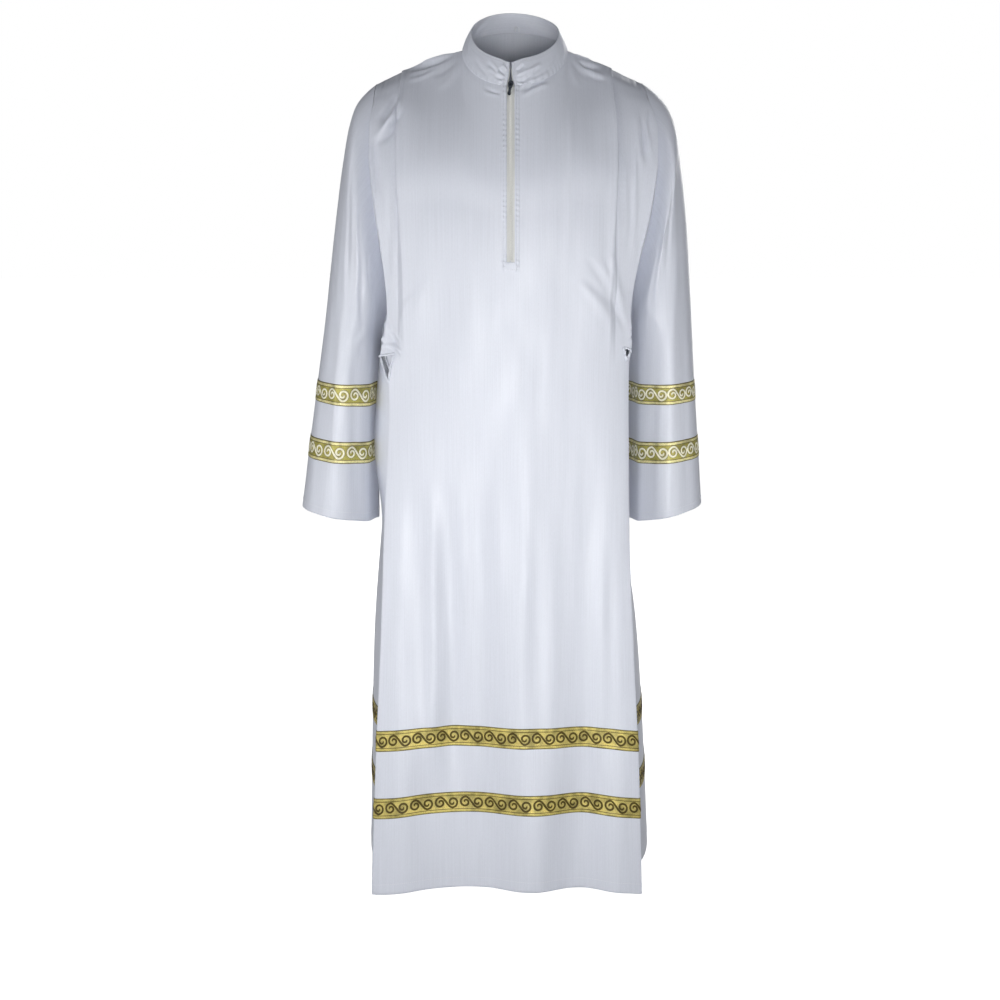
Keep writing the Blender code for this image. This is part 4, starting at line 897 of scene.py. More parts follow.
# Creases of a sleeve: the side that they lie on (front 1, back -1), ends as place between the rails and
# part of the length, half width between the rails, and height.
SLEEVE_CREASES = table(
    "face c0 along0 c1 along1 wide rise lean",
    (1, 0.55, 0.02, 0.2, 0.46, 0.1, -2.6, 1),
    (1, 0.78, 0.04, 0.52, 0.6, 0.09, 2, 1),
    (1, 0.1, 0.06, -0.25, 0.5, 0.1, 2.4, -1),
    (1, -0.45, 0.1, -0.1, 0.42, 0.09, -2, 1),
    (1, 0.4, 0.45, 0.1, 0.98, 0.12, 1.3, 1),
    (1, -0.2, 0.5, -0.45, 0.95, 0.11, -1.4, -1),
    (1, 0.75, 0.55, 0.6, 0.99, 0.1, -1.2, 1),
    (1, -0.8, 0.03, -0.62, 0.2, 0.04, -2.2, 1),
    (1, -0.66, 0.02, -0.74, 0.28, 0.034, 1.8, -1),
    (1, -0.3, 0.02, -0.52, 0.24, 0.038, -1.6, 1),
    (1, 0.05, 0.01, -0.2, 0.17, 0.034, 1.4, 1),
    (1, 0.42, 0.01, 0.3, 0.15, 0.034, -1.4, -1),
    (1, -0.7, 0.36, -0.2, 0.56, 0.08, 1.6, 1),
    (-1, 0.5, 0.03, 0.1, 0.5, 0.1, -2.6, 1),
    (-1, 0, 0.06, -0.35, 0.55, 0.1, 2.4, -1),
    (-1, 0.6, 0.4, 0.3, 0.95, 0.11, 2.2, 1),
    (-1, -0.15, 0.48, -0.4, 0.97, 0.11, -2.2, 1),
    plain="face c0 along0 c1 along1 wide lean",
)
SLEEVE_LENGTH = 0.69
# Where a sleeve's front starts to fall back beside the body, over what width, and by what share.
CLEFT = {-1: (0.78, 0.20, 0.60), 1: (0.76, 0.22, 0.60)}
CLEFT_STARTS = 0.06
CLEFT_GROWS = 0.18
CREASES_HIGHER = {-1: 0.0, 1: 0.06}         # how much further up a sleeve's creases lie
CREASES_CLOSER = {-1: 1.0, 1: 0.86}         # and how far from its middle, as a share
CUFF_STITCHED = 0.9775


def sleeve_fold(c, face, along):
    """Rise of the sleeve's soft folds, as a part of SLEEVE_FOLD_RISE."""
    total = np.zeros_like(c + along)
    for start, c_top, c_cuff, wide, rise in zip(*SLEEVE_FOLDS.values()):
        grown = ease((along - start) / SLEEVE_FOLD_GROWS)
        place = c_top + (c_cuff - c_top) * along
        place = np.where(face > 0, place, place * SLEEVE_BACK_SHARE)
        total = total + rise * grown * bell((c - place) / wide)
    return total * np.clip(1 - np.abs(c) ** SLEEVE_RAIL_FLAT, 0.0, 1.0)


def sleeve_creases(hand, c, face, along):
    """Rise of the sleeve's creases; the right sleeve's start a little higher and closer to its middle."""
    total = np.zeros_like(c + along)
    for on, c0, along0, c1, along1, wide, rise, lean in zip(*SLEEVE_CREASES.values()):
        part = (along - along0 + CREASES_HIGHER[hand]) / (along1 - along0)
        off = (c - c0 * CREASES_CLOSER[hand] - (c1 - c0) * part) / wide
        shown = ease(part * 3) * ease((1 - part) * 3) * (face * on > 0)
        total = total + rise * shown * (bell(off) - SLEEVE_CREASE_SIDE * bell(off - CREASE_OFF * lean))
    return total * np.clip(1 - np.abs(c) ** SLEEVE_RAIL_FLAT, 0.0, 1.0)


def sleeve_cloth(hand):
    """The cloth of one sleeve, by the angle round it from its left rail and the part of its length."""

    def point(turn, along):
        turn, along = arrays(turn, along)
        c = -hand * np.cos(turn)
        face = np.sign(np.sin(turn))
        middle, reach, depth = rail(along, hand)
        start, width, share = CLEFT[hand]
        fallen = share * ease((along - CLEFT_STARTS) / CLEFT_GROWS)
        out = depth * ring_depth(c) * (1 - fallen * (face > 0) * ease((-c - start) / width))
        bulge = ARMHOLE_BULGE[hand] * (1 - ease(along / BULGE_ENDS))
        x = middle[0] + reach[0] * c + hand * bulge * (1 - c * c)
        z = middle[1] + reach[1] * c
        calm = ease(along * 12)
        fine = sleeve_creases(hand, c, face, along) + drift(c * 0.06 + hand * 0.4 + face, along * 0.69)
        sag = SLEEVE_FOLD_RISE * sleeve_fold(c, face, along) + calm * np.abs(np.sin(turn)) * fine
        shift = SEAM * SLEEVE_CLEAR * (1 - ease(along / CLEAR_ENDS))
        return np.stack([x + hand * shift, -face * (out + sag), z], axis=-1)

    return point


for sleeve_name, hand in HANDS.items():
    sleeve_point = sleeve_cloth(hand)
    turns = np.linspace(0, 2 * math.pi, 121)[:-1] + 1e-5
    alongs = np.linspace(0, 1, 230)
    normal = outward(sleeve_point, turns, 0.998)
    turned = [sleeve_point(turns, 1 - back_up) - normal * lift
              for lift, back_up in ((EDGE_IN, 0.0), (LAYER_IN, 0.003), (LAYER_IN, 0.012), (LAYER_IN, 0.024))]
    grid = np.concatenate([sleeve_point(turns[None, :], alongs[:, None]), np.array(turned)])
    down = np.concatenate([alongs, [1.001, 1.004, 1.012, 1.024]]) * SLEEVE_LENGTH
    across = np.linspace(0, SLEEVE_ROUND, 121)
    sleeve = cloth_mesh(f"sleeve_cloth_{sleeve_name}", grid, across, down, closed=True)
    dress(sleeve, f"sleeve_{sleeve_name}", body_satin)

# Collar: two layers of satin with a stiffener, turned along the rim and sewn in round the neckline. Its
# ends are faced and lie a little thicker, and the seam below draws small puckers.
RIM_LEFT = 0.0600
RIM_RIGHT = 0.0745
RIM_FRONT = 0.0750
RIM_BACK = 0.0700
RIM_SIDE_HEIGHT = 0.0255
RIM_FRONT_SLOPE = 0.60
RIM_BACK_SLOPE = 0.50
NOTCH_DEPTH = 0.0055
NOTCH_WIDTH = 0.0120
COLLAR_END_BASE = 0.0052
COLLAR_END_RIM = 0.0013
COLLAR_END_CURVE = 1.6
COLLAR_LIFT = -0.0008
COLLAR_BOW = 0.0016
COLLAR_HALF = 0.0010      # half its thickness
COLLAR_ROUND = 0.97       # height where the rim starts to round over
COLLAR_STITCHED = 0.93
COLLAR_LENGTH = 0.49
COLLAR_TALL = 0.036
COLLAR_PIPED = (0.0004, 0.0028, 0.0005)     # ridge along each end: where it starts, stops, and how proud
COLLAR_CREASES = table(
    "x0 drop0 x1 drop1 bow wide rise lean",
    (4, 4, 30, 12, 1, 2.2, -1.4, 1),
    (6, 10, 36, 20, 2, 2.4, 1.2, 1),
    (12, 2, 60, 8, 1, 2.2, 1.2, -1),
    (40, 6, 85, 22, 2, 4, -1.4, 1),
    (90, 4, 110, 28, 2, 5, 1.2, 1),
    (-4, 4, -26, 10, 1, 2.2, -1.4, 1),
    (-5, 11, -40, 18, 2, 2.6, 1.2, -1),
    (-30, 4, -75, 20, 2, 4, -1.4, 1),
    (-80, 6, -110, 28, 2, 5, 1.2, 1),
    (3, 7, 22, 4, 1, 2.3, -1.9, 1),
    (4, 15, 24, 19, 1, 2.3, 1.9, 1),
    (4, 21, 20, 27, 1, 2.4, -1.9, -1),
    (16, 17, 48, 23, 1, 2.6, 2, 1),
    (-3, 6, -18, 3, 1, 2.3, 1.9, 1),
    (-4, 14, -22, 20, 1, 2.3, -1.9, -1),
    (-4, 22, -16, 28, 1, 2.4, 1.9, 1),
    (-14, 12, -44, 25, 1, 2.6, -2, 1),
    (180, 6, 240, 24, 3, 6, 1.4, 1),
    (-170, 4, -215, 26, 3, 6, -1.4, 1),
    plain="lean",
)


def collar_point(turn, up):
    """Collar's middle surface: turn is the angle round the neck from the right side, up from 0 to 1."""
    turn, up = arrays(turn, up)
    c = np.cos(turn)
    s = np.sin(turn)
    base_y = np.where(s < 0, NECK_FRONT, NECK_BACK) * s
    base_z = -NECK_SIDE_DROP + np.where(s < 0, NECK_FRONT_SLOPE, NECK_BACK_SLOPE) * base_y
    base = np.stack([np.where(c > 0, NECK_RIGHT, NECK_LEFT) * c, base_y, base_z], axis=-1)
    rim_x = np.where(c > 0, RIM_RIGHT, RIM_LEFT) * c
    rim_y = np.where(s < 0, RIM_FRONT, RIM_BACK) * s
    rim_z = RIM_SIDE_HEIGHT + np.where(s < 0, RIM_FRONT_SLOPE, RIM_BACK_SLOPE) * rim_y
    rim_z = rim_z - NOTCH_DEPTH * bell(rim_x / NOTCH_WIDTH) * (s < 0)
    rim = np.stack([rim_x, rim_y, rim_z], axis=-1)
    lift = COLLAR_LIFT / np.linalg.norm(rim - base, axis=-1)
    part = (lift + (1 - lift) * up)[..., None]
    bow = (COLLAR_BOW * np.sin(math.pi * np.clip(up, 0, 1)))[..., None] * np.stack([c, s, 0 * c], axis=-1)
    return base + (rim - base) * part + bow


def collar_end(up):
    """Half the space between the collar's ends at the height `up`."""
    return COLLAR_END_RIM + (COLLAR_END_BASE - COLLAR_END_RIM) * (1 - np.clip(up, 0, 1)) ** COLLAR_END_CURVE


def collar_reach(hand, up):
    """The collar's half width on the left (-1) or right (1) at the height `up`."""
    base, rim = (NECK_RIGHT, RIM_RIGHT) if hand > 0 else (NECK_LEFT, RIM_LEFT)
    return base + (rim - base) * up


def collar_turn(part, up):
    """Angle round the collar at `part` of the way from its right end to its left end."""
    first = -math.pi / 2 + np.arcsin(collar_end(up) / collar_reach(1, up))
    last = 1.5 * math.pi - np.arcsin(collar_end(up) / collar_reach(-1, up))
    return first + (last - first) * part


def collar_out(turn, up):
    """Unit normals of the collar, away from the neck."""
    return -outward(collar_point, turn, up, 0.002)


def collar_layer(part, up, out):
    """The collar's cloth, `out` half thicknesses off its middle, with its faced ends and small creases."""
    part, up, out = arrays(part, up, out)
    turn = collar_turn(part, up)
    arc = np.where(part < 0.5, part, part - 1) * COLLAR_LENGTH
    end = np.abs(arc)
    start, stop, proud = COLLAR_PIPED
    piped = proud * ease((end - start) / 0.0008) * (1 - ease((end - stop) / 0.0010))
    rounded = np.sqrt(np.clip(1 - (1 - np.clip(end / 0.0012, 0, 1)) ** 2, 0.0025, 1))
    half = (COLLAR_HALF + piped) * rounded
    creased = crease_rise(COLLAR_CREASES, arc, up * COLLAR_TALL)
    puckers = 0.0006 * np.sin(arc * 700 + 2 * np.sin(arc * 90)) * np.exp(-up / 0.16)
    puckers = puckers * (0.15 + bell(end / 0.09))
    seamed = -0.0003 * bell((up - COLLAR_STITCHED) / 0.02) * (out > 0)
    waved = 0.0004 * np.sin(arc * 61 + up * 2.2) * np.sin(arc * 23 + 1.0) * np.clip(up, 0, 1)
    off = half * out + rounded * (creased + puckers + seamed + waved)
    return collar_point(turn, up) + collar_out(turn, up) * off[..., None]


rim_turns = np.linspace(0, math.pi, 9)
collar_section = np.concatenate([
    [(up, 1.0) for up in np.linspace(0.0, COLLAR_ROUND, 36)],
    [(COLLAR_ROUND + (1 - COLLAR_ROUND) * math.sin(t), math.cos(t)) for t in rim_turns[1:-1]],
    [(up, -1.0) for up in np.linspace(COLLAR_ROUND, 0.0, 26)],
    [(-0.02 * math.sin(t), -math.cos(t)) for t in rim_turns[2:-1:2]],
])
collar_parts = np.concatenate([np.linspace(0.0, 0.012, 22), np.linspace(0.012, 0.16, 110)[1:],
                               np.linspace(0.16, 0.84, 210)[1:-1], np.linspace(0.84, 0.988, 110)[:-1],
                               np.linspace(0.988, 1.0, 22)])
collar_points = collar_layer(collar_parts[:, None], collar_section[None, :, 0], collar_section[None, :, 1])
collar = cloth_mesh("collar_cloth", collar_points, np.linspace(0, 0.076, len(collar_section) + 1),
                    collar_parts * COLLAR_LENGTH, closed=True)
dress(collar, "collar", satin("collar_satin", SATIN_COLOUR, 0.44, 0.25))

# Galloon: a metallic jacquard ribbon 33 mm wide, with a running scroll between two edge lines. Two rows
# are sewn round each sleeve and two round the hem, flat on the satin. One ribbon is coloured as a lit and
# a shaded copy: on the sleeves the scroll is cream with a dark outline, a painted highlight of its thread
# catching the light, and on the hem's gold the scroll and lines are dark brown, painted shade.
BAND_WIDE = 0.033
BAND_LIFT = 0.0007
SCROLL_PITCH = 0.0193
SCROLL_RADIUS = 0.0086
SCROLL_END = 0.16
SCROLL_TURNS = 1.30
SCROLL_TIGHTENS = 1.1
SCROLL_HALF = 0.0018
OUTLINE_HALF = 0.0025
SCROLL_RISE = 0.00055
SLEEVE_BANDS = {"upper": (0.66, 0.71), "lower": (0.80, 0.85)}
HEM_BANDS = {"upper": (1.0420, 1.0750), "lower": (1.1490, 1.1820)}


def galloon(name, bands, shine, painted_glint_and_patches):
    """Metallic ribbon: bands of colour across its width, by part of the width, with glints of its threads
    painted into the colour as fine lighter and darker specks, and broader patches that also vary its gloss.
    """
    made, tree, shader = material(name, {"Metallic": shine, "Specular IOR Level": 0.35})
    split = add(tree, "SeparateXYZ", {"Vector": on_cloth(tree)})
    width = reckoned(tree, "DIVIDE", split.outputs["Y"], BAND_WIDE)
    threads = noise(tree, 900, 2600)
    patches = noise(tree, 70, 60)
    colour = ramp(tree, width, bands, "CONSTANT")
    # fine specks from the threads' noise are painted glint; the broader patches vary its tone and gloss
    for tone in (ranged(tree, threads, 0.32, 0.70, 1 - painted_glint_and_patches, 1 + painted_glint_and_patches),
                 ranged(tree, patches, 0.35, 0.65, 1 - painted_glint_and_patches * 0.6, 1 + painted_glint_and_patches * 0.4)):
        toned = tree.nodes.new("ShaderNodeVectorMath")
        toned.operation = "SCALE"
        colour = feed(toned, {0: colour, "Scale": tone})
    feed(shader, {"Base Color": colour, "Roughness": ranged(tree, patches, 0.35, 0.65, 0.30, 0.52),
                  "Normal": bumped(tree, threads, 0.7, 0.00012)})
    return made


EDGE_OLIVE = (0.17, 0.14, 0.035)
GOLD = (0.84, 0.76, 0.38)
OLIVE_GOLD = (0.46, 0.41, 0.105)
# cream of the sleeves' scroll: a painted highlight of its thread catching the light
CREAM_GOLD_HIGHLIGHT = (0.97, 0.93, 0.72)
# dark brown of the hem's scroll and lines: painted shade
DARK_BROWN_SHADE = (0.085, 0.058, 0.006)
HEM_GOLD = (0.58, 0.48, 0.14)
SLEEVE_STRIPES = [(0.0, EDGE_OLIVE), (0.045, GOLD), (0.155, EDGE_OLIVE), (0.185, OLIVE_GOLD),
                  (0.815, EDGE_OLIVE), (0.845, GOLD), (0.955, EDGE_OLIVE)]
# the hem's copy of the ribbon, the shaded one: its inner lines are painted shade in dark brown
HEM_STRIPES = [(0.0, EDGE_OLIVE), (0.045, HEM_GOLD), (0.150, DARK_BROWN_SHADE), (0.18, HEM_GOLD),
               (0.82, DARK_BROWN_SHADE), (0.850, HEM_GOLD), (0.955, EDGE_OLIVE)]
# Lit and shaded copies of one ribbon: the sleeves' scroll is a painted highlight, the hem's scroll painted
# shade.
sleeve_ground = galloon("galloon_sleeve_ground", SLEEVE_STRIPES, 0.30, 0.55)
sleeve_scroll_lit = galloon("galloon_sleeve_scroll", [(0.0, CREAM_GOLD_HIGHLIGHT), (1.0, CREAM_GOLD_HIGHLIGHT)], 0.15, 0.20)
scroll_outline = galloon("galloon_outline", [(0.0, EDGE_OLIVE), (1.0, EDGE_OLIVE)], 0.2, 0.2)
hem_ground = galloon("galloon_hem_ground", HEM_STRIPES, 0.30, 0.62)
hem_scroll_shaded = galloon("galloon_hem_scroll", [(0.0, DARK_BROWN_SHADE), (1.0, DARK_BROWN_SHADE)], 0.2, 0.35)


def scroll_path(samples):
    """One unit of the running scroll: an S that curls in to a spiral at its top left and bottom right."""
    stem = samples // 5
    t = np.linspace(0, 1, stem, endpoint=False)
    curl = np.linspace(0, 1, samples // 2 - stem)
    radius = SCROLL_RADIUS * (1 - (1 - SCROLL_END) * curl ** SCROLL_TIGHTENS)
    angle = -math.pi / 2 + 2 * math.pi * SCROLL_TURNS * curl
    u = np.concatenate([SCROLL_PITCH / 2 * t, SCROLL_PITCH / 2 + radius * np.cos(angle)])
    v = np.concatenate([SCROLL_RADIUS * np.sin(math.pi / 2 * t), -radius * np.sin(angle)])
    return np.concatenate([-u[:0:-1], u]), np.concatenate([-v[:0:-1], v])


def scroll_strips(units, half, low, high):
    """Places (along, across the band) and lifts of every unit's raised strip."""
    u, v = scroll_path(84)
    run_u, run_v = np.gradient(u), np.gradient(v)
    length = np.hypot(run_u, run_v)
    run_u, run_v = run_u / length, run_v / length
    part = np.linspace(0, 1, len(u))
    taper = np.clip(np.minimum(part, 1 - part) / 0.12 + 0.45, 0, 1)
    profile = np.array([(-1.0, 0.0), (-0.72, 0.8), (0.0, 1.0), (0.72, 0.8), (1.0, 0.0)])
    off = profile[None, :, 0] * half * taper[:, None]
    places_u = units[:, None, None] + (u[:, None] + run_v[:, None] * off)[None]
    places_v = BAND_WIDE / 2 + (v[:, None] - run_u[:, None] * off)[None] + 0 * places_u
    lifts = low + (high - low) * profile[None, None, :, 1] + 0 * places_u
    return places_u, places_v, lifts


def lengths(path):
    """The length along a path at each of its points."""
    return np.concatenate([[0], np.cumsum(np.linalg.norm(np.diff(path, axis=0), axis=1))])


def band_pieces(name, node, cloth, ends, levels, columns, closed, ground, raised, outlined):
    """A band on a cloth: its ground, and the scroll woven proud of it, fitted to whole units."""
    samples = np.linspace(*ends, 1601)
    middle = cloth(samples, np.mean(levels))
    arc = lengths(middle)
    count = int(round(arc[-1] / (2 * SCROLL_PITCH)))

    def place(u, v, lift):
        s = np.interp(np.mod(u, arc[-1]) if closed else u, arc, samples)
        t = levels[0] + (levels[1] - levels[0]) * v / BAND_WIDE
        return cloth(s, t) + outward(cloth, s, t) * lift[..., None]

    v = np.array([0.0, 0.0003, 0.0014, 0.003, 0.0051, 0.0058, 0.009, 0.013, 0.0165, 0.020, 0.024, 0.0272,
                  0.0279, 0.030, 0.0316, 0.0327, 0.033])
    lift = BAND_LIFT * np.array([0.2, 0.8] + [1.15] * 3 + [1] * 7 + [1.15] * 3 + [0.8, 0.2])
    u = np.linspace(0, arc[-1], columns + 1)
    shown = u[:-1] if closed else u
    grid_u, grid_v = np.meshgrid(shown, v)
    band = cloth_mesh(name, place(grid_u, grid_v, lift[:, None] + 0 * grid_u), u, v, closed=closed)
    dress(band, node, ground)
    units = (np.arange(count) + 0.5) * (arc[-1] / count)
    layers = [("scroll", SCROLL_HALF, SCROLL_RISE, raised)]
    if outlined:
        layers.insert(0, ("outline", OUTLINE_HALF, SCROLL_RISE * 0.35, scroll_outline))
    for label, half, rise, finish in layers:
        places_u, places_v, lifts = scroll_strips(units, half, BAND_LIFT * 0.7, BAND_LIFT + rise)
        uv = np.stack([places_u, places_v], axis=-1)
        ribbons(f"{name}_{label}", place(places_u, places_v, lifts), finish, uv=uv)


# The sleeves' bands take the lit copy, its cream scroll a painted highlight.
for label, hand in HANDS.items():
    for row, span in SLEEVE_BANDS.items():
        band_pieces(f"galloon_sleeve_{row}_{label}", f"sleeve_band_{row}_{label}", sleeve_cloth(hand),
                    (0.0, 2 * math.pi), span, 150, True, sleeve_ground, sleeve_scroll_lit, True)
# The hem's bands take the shaded copy, its dark brown scroll and lines painted shade.
for row, span in HEM_BANDS.items():
    for label, cloth, end, columns in (("front", front_cloth, 1.20, 210), ("back", back_cloth, 1.19, 230)):
        band_pieces(f"galloon_hem_{row}_{label}", f"hem_band_{row}_{label}", cloth, (-end, end), span,
                    columns, False, hem_ground, hem_scroll_shaded, False)

# Zip: a pale grey woven tape on each side, a nylon coil between them, and the turned edges of the front
# sewn down over it with a row of stitches on each side and two across the end.
TAPE_HALF = 0.0150
TAPE_CLOTH = 0.0008
TAPE_SPLIT = 0.0004
TAPE_TAIL = 0.0080
TAPE_SHOWN = 0.0012
TAPE_DEPTH = 0.0026
TAPE_RIB = 0.00016
COIL_TOP = 0.0665
COIL_END = ZIP_END - 0.0030
COIL_PITCH = 0.0015
COIL_LIFT = -0.00125
TAPE_COLOUR = (0.74, 0.745, 0.72)
COIL_COLOUR = (0.86, 0.86, 0.82)


def plain(name, colour, roughness, metallic):
    """A plain finish with a little unevenness in its gloss."""
    made, tree, shader = material(name, {"Base Color": (*colour, 1), "Metallic": metallic})
    place = add(tree, "TexCoord", {}).outputs["Object"]
    spots = add(tree, "TexNoise", {"Vector": place, "Scale": 420.0, "Detail": 3.0})
    feed(shader, {"Roughness": ranged(tree, spots, 0.0, 1.0, roughness - 0.12, roughness + 0.12)})
    return made


def woven(name, colour):
    """Woven tape: fine ribs along it and across it."""
    made = plain(name, colour, 0.75, 0.0)
    tree = made.node_tree
    feed(tree.nodes["Principled BSDF"], {"Normal": bumped(tree, noise(tree, 1500, 900), 0.8, 0.0001)})
    return made


def front_at(x, level):
    """The front's cloth at x metres across, above the level where the panel starts to widen."""
    return front_cloth(x / side(x, TOP_EDGE[-1], TOP_EDGE[1]), level)


def front_out(x, level):
    """Unit normals of the front at x metres across."""
    return outward(front_at, x, level)


zip_ups = np.linspace(0.80, 0.02, 14)
zip_levels = np.linspace(0.0605, ZIP_END + TAPE_TAIL, 120)
tape_woven = woven("tape_woven", TAPE_COLOUR)
for tape_name, hand in HANDS.items():
    parts = np.linspace(0, 1, 9)[::hand]
    tape_rows = []
    for up in zip_ups:
        near = max(TAPE_SPLIT, collar_end(up) - TAPE_SHOWN)
        x = hand * (near + (TAPE_HALF - near) * parts)
        turn = -math.pi / 2 + np.arcsin(x / collar_reach(hand, up))
        tape_rows.append(collar_point(turn, up) - collar_out(turn, up) * (TAPE_DEPTH - TAPE_CLOTH / 2))
    for level in zip_levels:
        x = hand * (TAPE_SPLIT + (TAPE_HALF - TAPE_SPLIT) * parts)
        deep = TAPE_DEPTH - TAPE_CLOTH / 2 - TAPE_RIB * (np.abs(np.abs(x) - 0.0047) < 0.0009)
        tape_rows.append(front_at(x, level) - front_out(x, level) * deep[:, None])
    tape_rows = np.array(tape_rows)
    tape_down = np.concatenate([zip_levels[0] - 0.03 * zip_ups, zip_levels])
    tape = cloth_mesh(f"tape_{tape_name}", tape_rows, parts * TAPE_HALF, tape_down)
    dress(tape, f"zip_tape_{tape_name}", tape_woven)


# Coil: a nylon spiral on each tape, whose turns lock between each other.
coil_levels = np.arange(COIL_TOP, COIL_END, COIL_PITCH / 2)
coil_sides = np.where(np.arange(len(coil_levels)) % 2 == 0, -1.0, 1.0)
coil_across = np.array([-2.70, -2.55, -2.0, -1.2, -0.4, 0.25, 0.55]) / 1000
coil_raised = np.array([-0.35, 0.05, 0.25, 0.32, 0.28, 0.15, -0.10]) / 1000
coil_x = coil_sides[:, None] * -coil_across[None, ::-1]
coil_x = coil_x[:, ::-1]
coil_z = coil_levels[:, None] + 0 * coil_x
coil_out = front_out(coil_x, coil_z)
coil_middle = front_at(coil_x, coil_z) + coil_out * (COIL_LIFT + coil_raised)[None, :, None]
coil_thick = np.array([0.15, 0.34, 0.36, 0.36, 0.38, 0.44, 0.12]) / 1000 + 0 * coil_x
coil_nylon = plain("coil_nylon", COIL_COLOUR, 0.38, 0.0)
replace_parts(cords("coil_turns", coil_middle, coil_out, coil_thick, 8, coil_nylon), "zip_coil")

# Turned edges: the front's satin rolls in along both sides of the zip.
roll = np.array([(0.0, 0.60), (-0.25, 0.50), (-0.40, 0.20), (-0.42, -0.50), (-0.25, -0.95), (0.10, -1.15),
                 (5.0, -1.25)]) / 1000          # distance from the slot's edge, and out from the satin
roll_levels = np.linspace(FRONT_TOP + 0.0006, ZIP_END + 0.0002, 150)
roll_x = SLOT_HALF + roll[:, 0]
for edge_name, hand in HANDS.items():
    order = slice(None, None, -1) if hand < 0 else slice(None)
    x = hand * roll_x[order][None, :] + 0 * roll_levels[:, None]
    z = roll_levels[:, None] + 0 * x
    lifts = (roll[:, 1][order] - placket_rise(np.array([SLOT_HALF]), np.array([0.2]))[0])[None, :, None]
    edge_points = front_at(np.clip(x, -1, 1), z) + front_out(x, z) * lifts
    edge_uv = np.stack([x, z], axis=-1)[None]
    ribbons(f"zip_edge_{edge_name}", edge_points[None], body_satin, uv=edge_uv)

# Stitches: white polyester thread, sunk a little in the satin it draws together.
THREAD_RADIUS = 0.00036
STITCH_LENGTH = 0.0024
STITCH_PITCH = 0.0032
thread = plain("thread", (0.80, 0.82, 0.86), 0.5, 0.0)


def stitches(name, path, normals, pitch=STITCH_PITCH, length=STITCH_LENGTH, radius=THREAD_RADIUS):
    """A row of stitches along a path, each a short thread that dips in at both ends."""
    arc = lengths(path)
    starts = np.arange(pitch / 2, arc[-1] - pitch, pitch)
    at = starts[:, None] + np.linspace(0, length, 6)[None, :]
    centres = np.stack([np.interp(at, arc, path[:, i]) for i in range(3)], axis=-1)
    outs = np.stack([np.interp(at, arc, normals[:, i]) for i in range(3)], axis=-1)
    lift = radius * np.array([-1.4, 0.1, 0.5, 0.5, 0.1, -1.4])
    thick = radius * np.array([0.5, 0.9, 1.0, 1.0, 0.9, 0.5]) + 0 * at
    cords(name, centres + outs * lift[None, :, None], outs, thick, 6, thread)


down_placket = np.linspace(FRONT_TOP + 0.002, PLACKET_END - 0.0008, 400)
for label, hand in HANDS.items():
    x = hand * PLACKET_STITCH + 0 * down_placket
    stitches(f"stitches_placket_{label}", front_at(x, down_placket), front_out(x, down_placket))
for label, level, pitch in (("bar", ZIP_END + 0.0012, 0.0009), ("end", PLACKET_END - 0.0012, STITCH_PITCH)):
    reach = SLOT_HALF if label == "bar" else PLACKET_STITCH
    x = np.linspace(-reach, reach, 60)
    z = level + 0 * x
    stitches(f"stitches_placket_{label}", front_at(x, z), front_out(x, z), pitch=pitch,
             length=0.75 * pitch, radius=THREAD_RADIUS * (1.5 if label == "bar" else 1))
for label, cloth, span in (("front", front_cloth, (-1.22, 1.22)), ("back", back_cloth, (-1.2, 1.2))):
    s = np.linspace(*span, 900)
    level = HEM - HEM_TURNED + 0.002 + 0 * s
    stitches(f"stitches_hem_{label}", cloth(s, level), outward(cloth, s, level))
for label, hand in HANDS.items():
    s = np.linspace(0, 2 * math.pi, 900)
    cuff = sleeve_cloth(hand)
    stitches(f"stitches_cuff_{label}", cuff(s, CUFF_STITCHED),
             outward(cuff, s, CUFF_STITCHED + 0 * s))
rim_parts = np.linspace(0.008, 0.992, 900)
rim_path = collar_layer(rim_parts, COLLAR_STITCHED, 1.0)
rim_out = rim_path - collar_layer(rim_parts, COLLAR_STITCHED, 0.0)
stitches("stitches_collar_rim", rim_path, unit(rim_out))

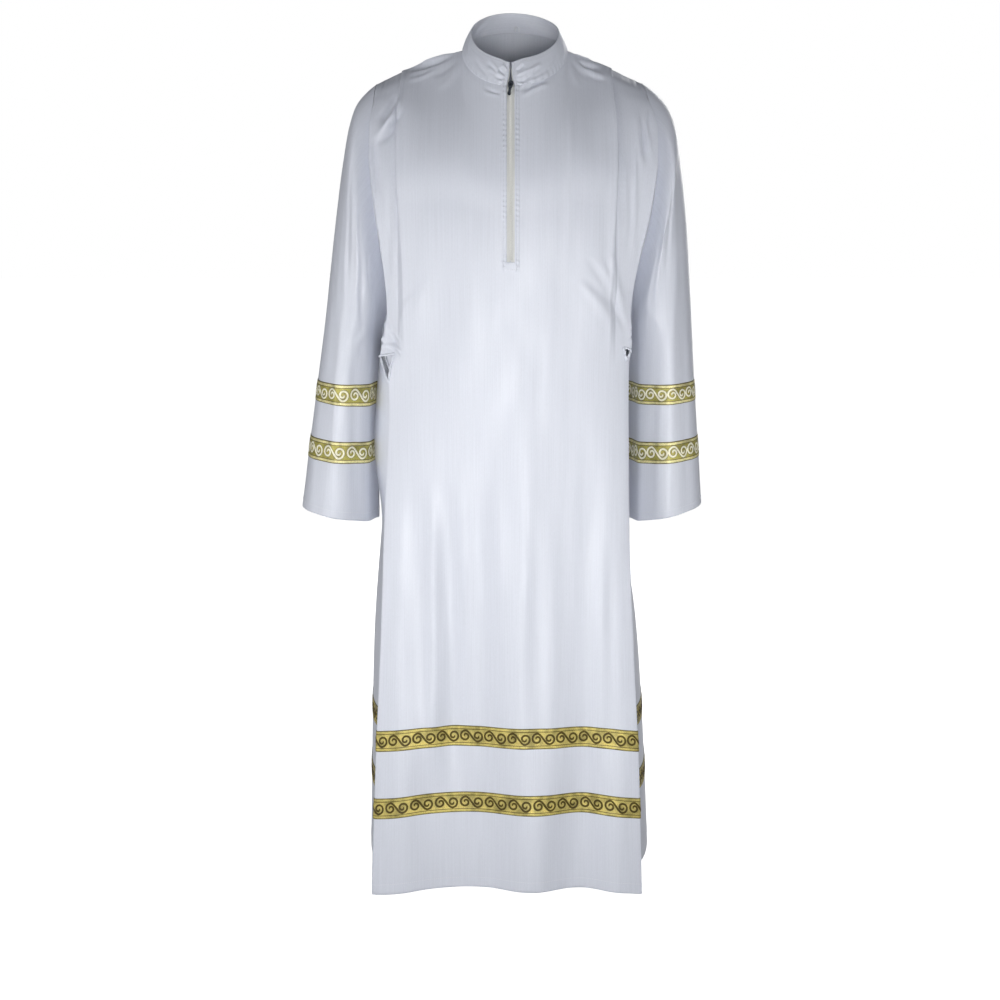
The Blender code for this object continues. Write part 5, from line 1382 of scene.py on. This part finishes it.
# Slider and pull: die-cast metal with a dark lacquer. The slider stays where the photograph shows it, and
# the pull hangs from its bridge.
lacquer = plain("dark_lacquer", (0.022, 0.026, 0.032), 0.28, 0.9)
for metal_name in ("zip_slider", "zip_pull"):
    bpy.data.objects[metal_name].data.materials[0] = lacquer

# Hanging loop: two strands of thread twisted into a small bar, sewn inside the back of the neck.
LOOP_TURN = math.radians(82.5)
LOOP_HALF = 0.0030
LOOP_HEIGHT = 0.0100
LOOP_FOOT = 0.0020
LOOP_IN = 0.0026
LOOP_LEG = 0.35           # length of each leg, as a share of the bend's
STRAND_OFF = 0.00045
STRAND_RADIUS = 0.00052
STRAND_TWIST = 26
loop_centre = collar_point(LOOP_TURN, 0.2)
loop_right = unit(collar_point(LOOP_TURN - 0.05, 0.2) - loop_centre)
loop_up = unit(collar_point(LOOP_TURN, 0.5) - loop_centre)
loop_in = unit(np.cross(loop_right, loop_up))
loop_in *= -np.sign(loop_in[1])
loop_t = np.linspace(-LOOP_LEG, 1 + LOOP_LEG, 90)
bend = np.clip(loop_t, 0, 1) * math.pi
loop_x = LOOP_HALF * np.cos(bend)
loop_y = LOOP_HEIGHT - LOOP_HALF + LOOP_HALF * np.sin(bend)
legs = np.clip(np.maximum(-loop_t, loop_t - 1) / LOOP_LEG, 0, 1)
loop_y = loop_y - (LOOP_HEIGHT - LOOP_HALF - LOOP_FOOT) * legs
loop_path = collar_point(LOOP_TURN, 0.0) + loop_in * LOOP_IN
loop_path = loop_path + loop_right * loop_x[:, None] + loop_up * loop_y[:, None]
loop_out = np.cross(unit(np.gradient(loop_path, axis=0)), loop_in)
strands = []
for phase in (0.0, math.pi):
    twist = (loop_t * STRAND_TWIST + phase)[:, None]
    strands.append(loop_path + STRAND_OFF * (np.cos(twist) * loop_out + np.sin(twist) * loop_in))
loop_in = loop_in + 0 * loop_path
loop = cords("hanging_loop_strands", np.array(strands), np.array([loop_in, loop_in]),
             STRAND_RADIUS + 0 * np.array([loop_t, loop_t]), 8, thread)
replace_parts(loop, "hanging_loop")
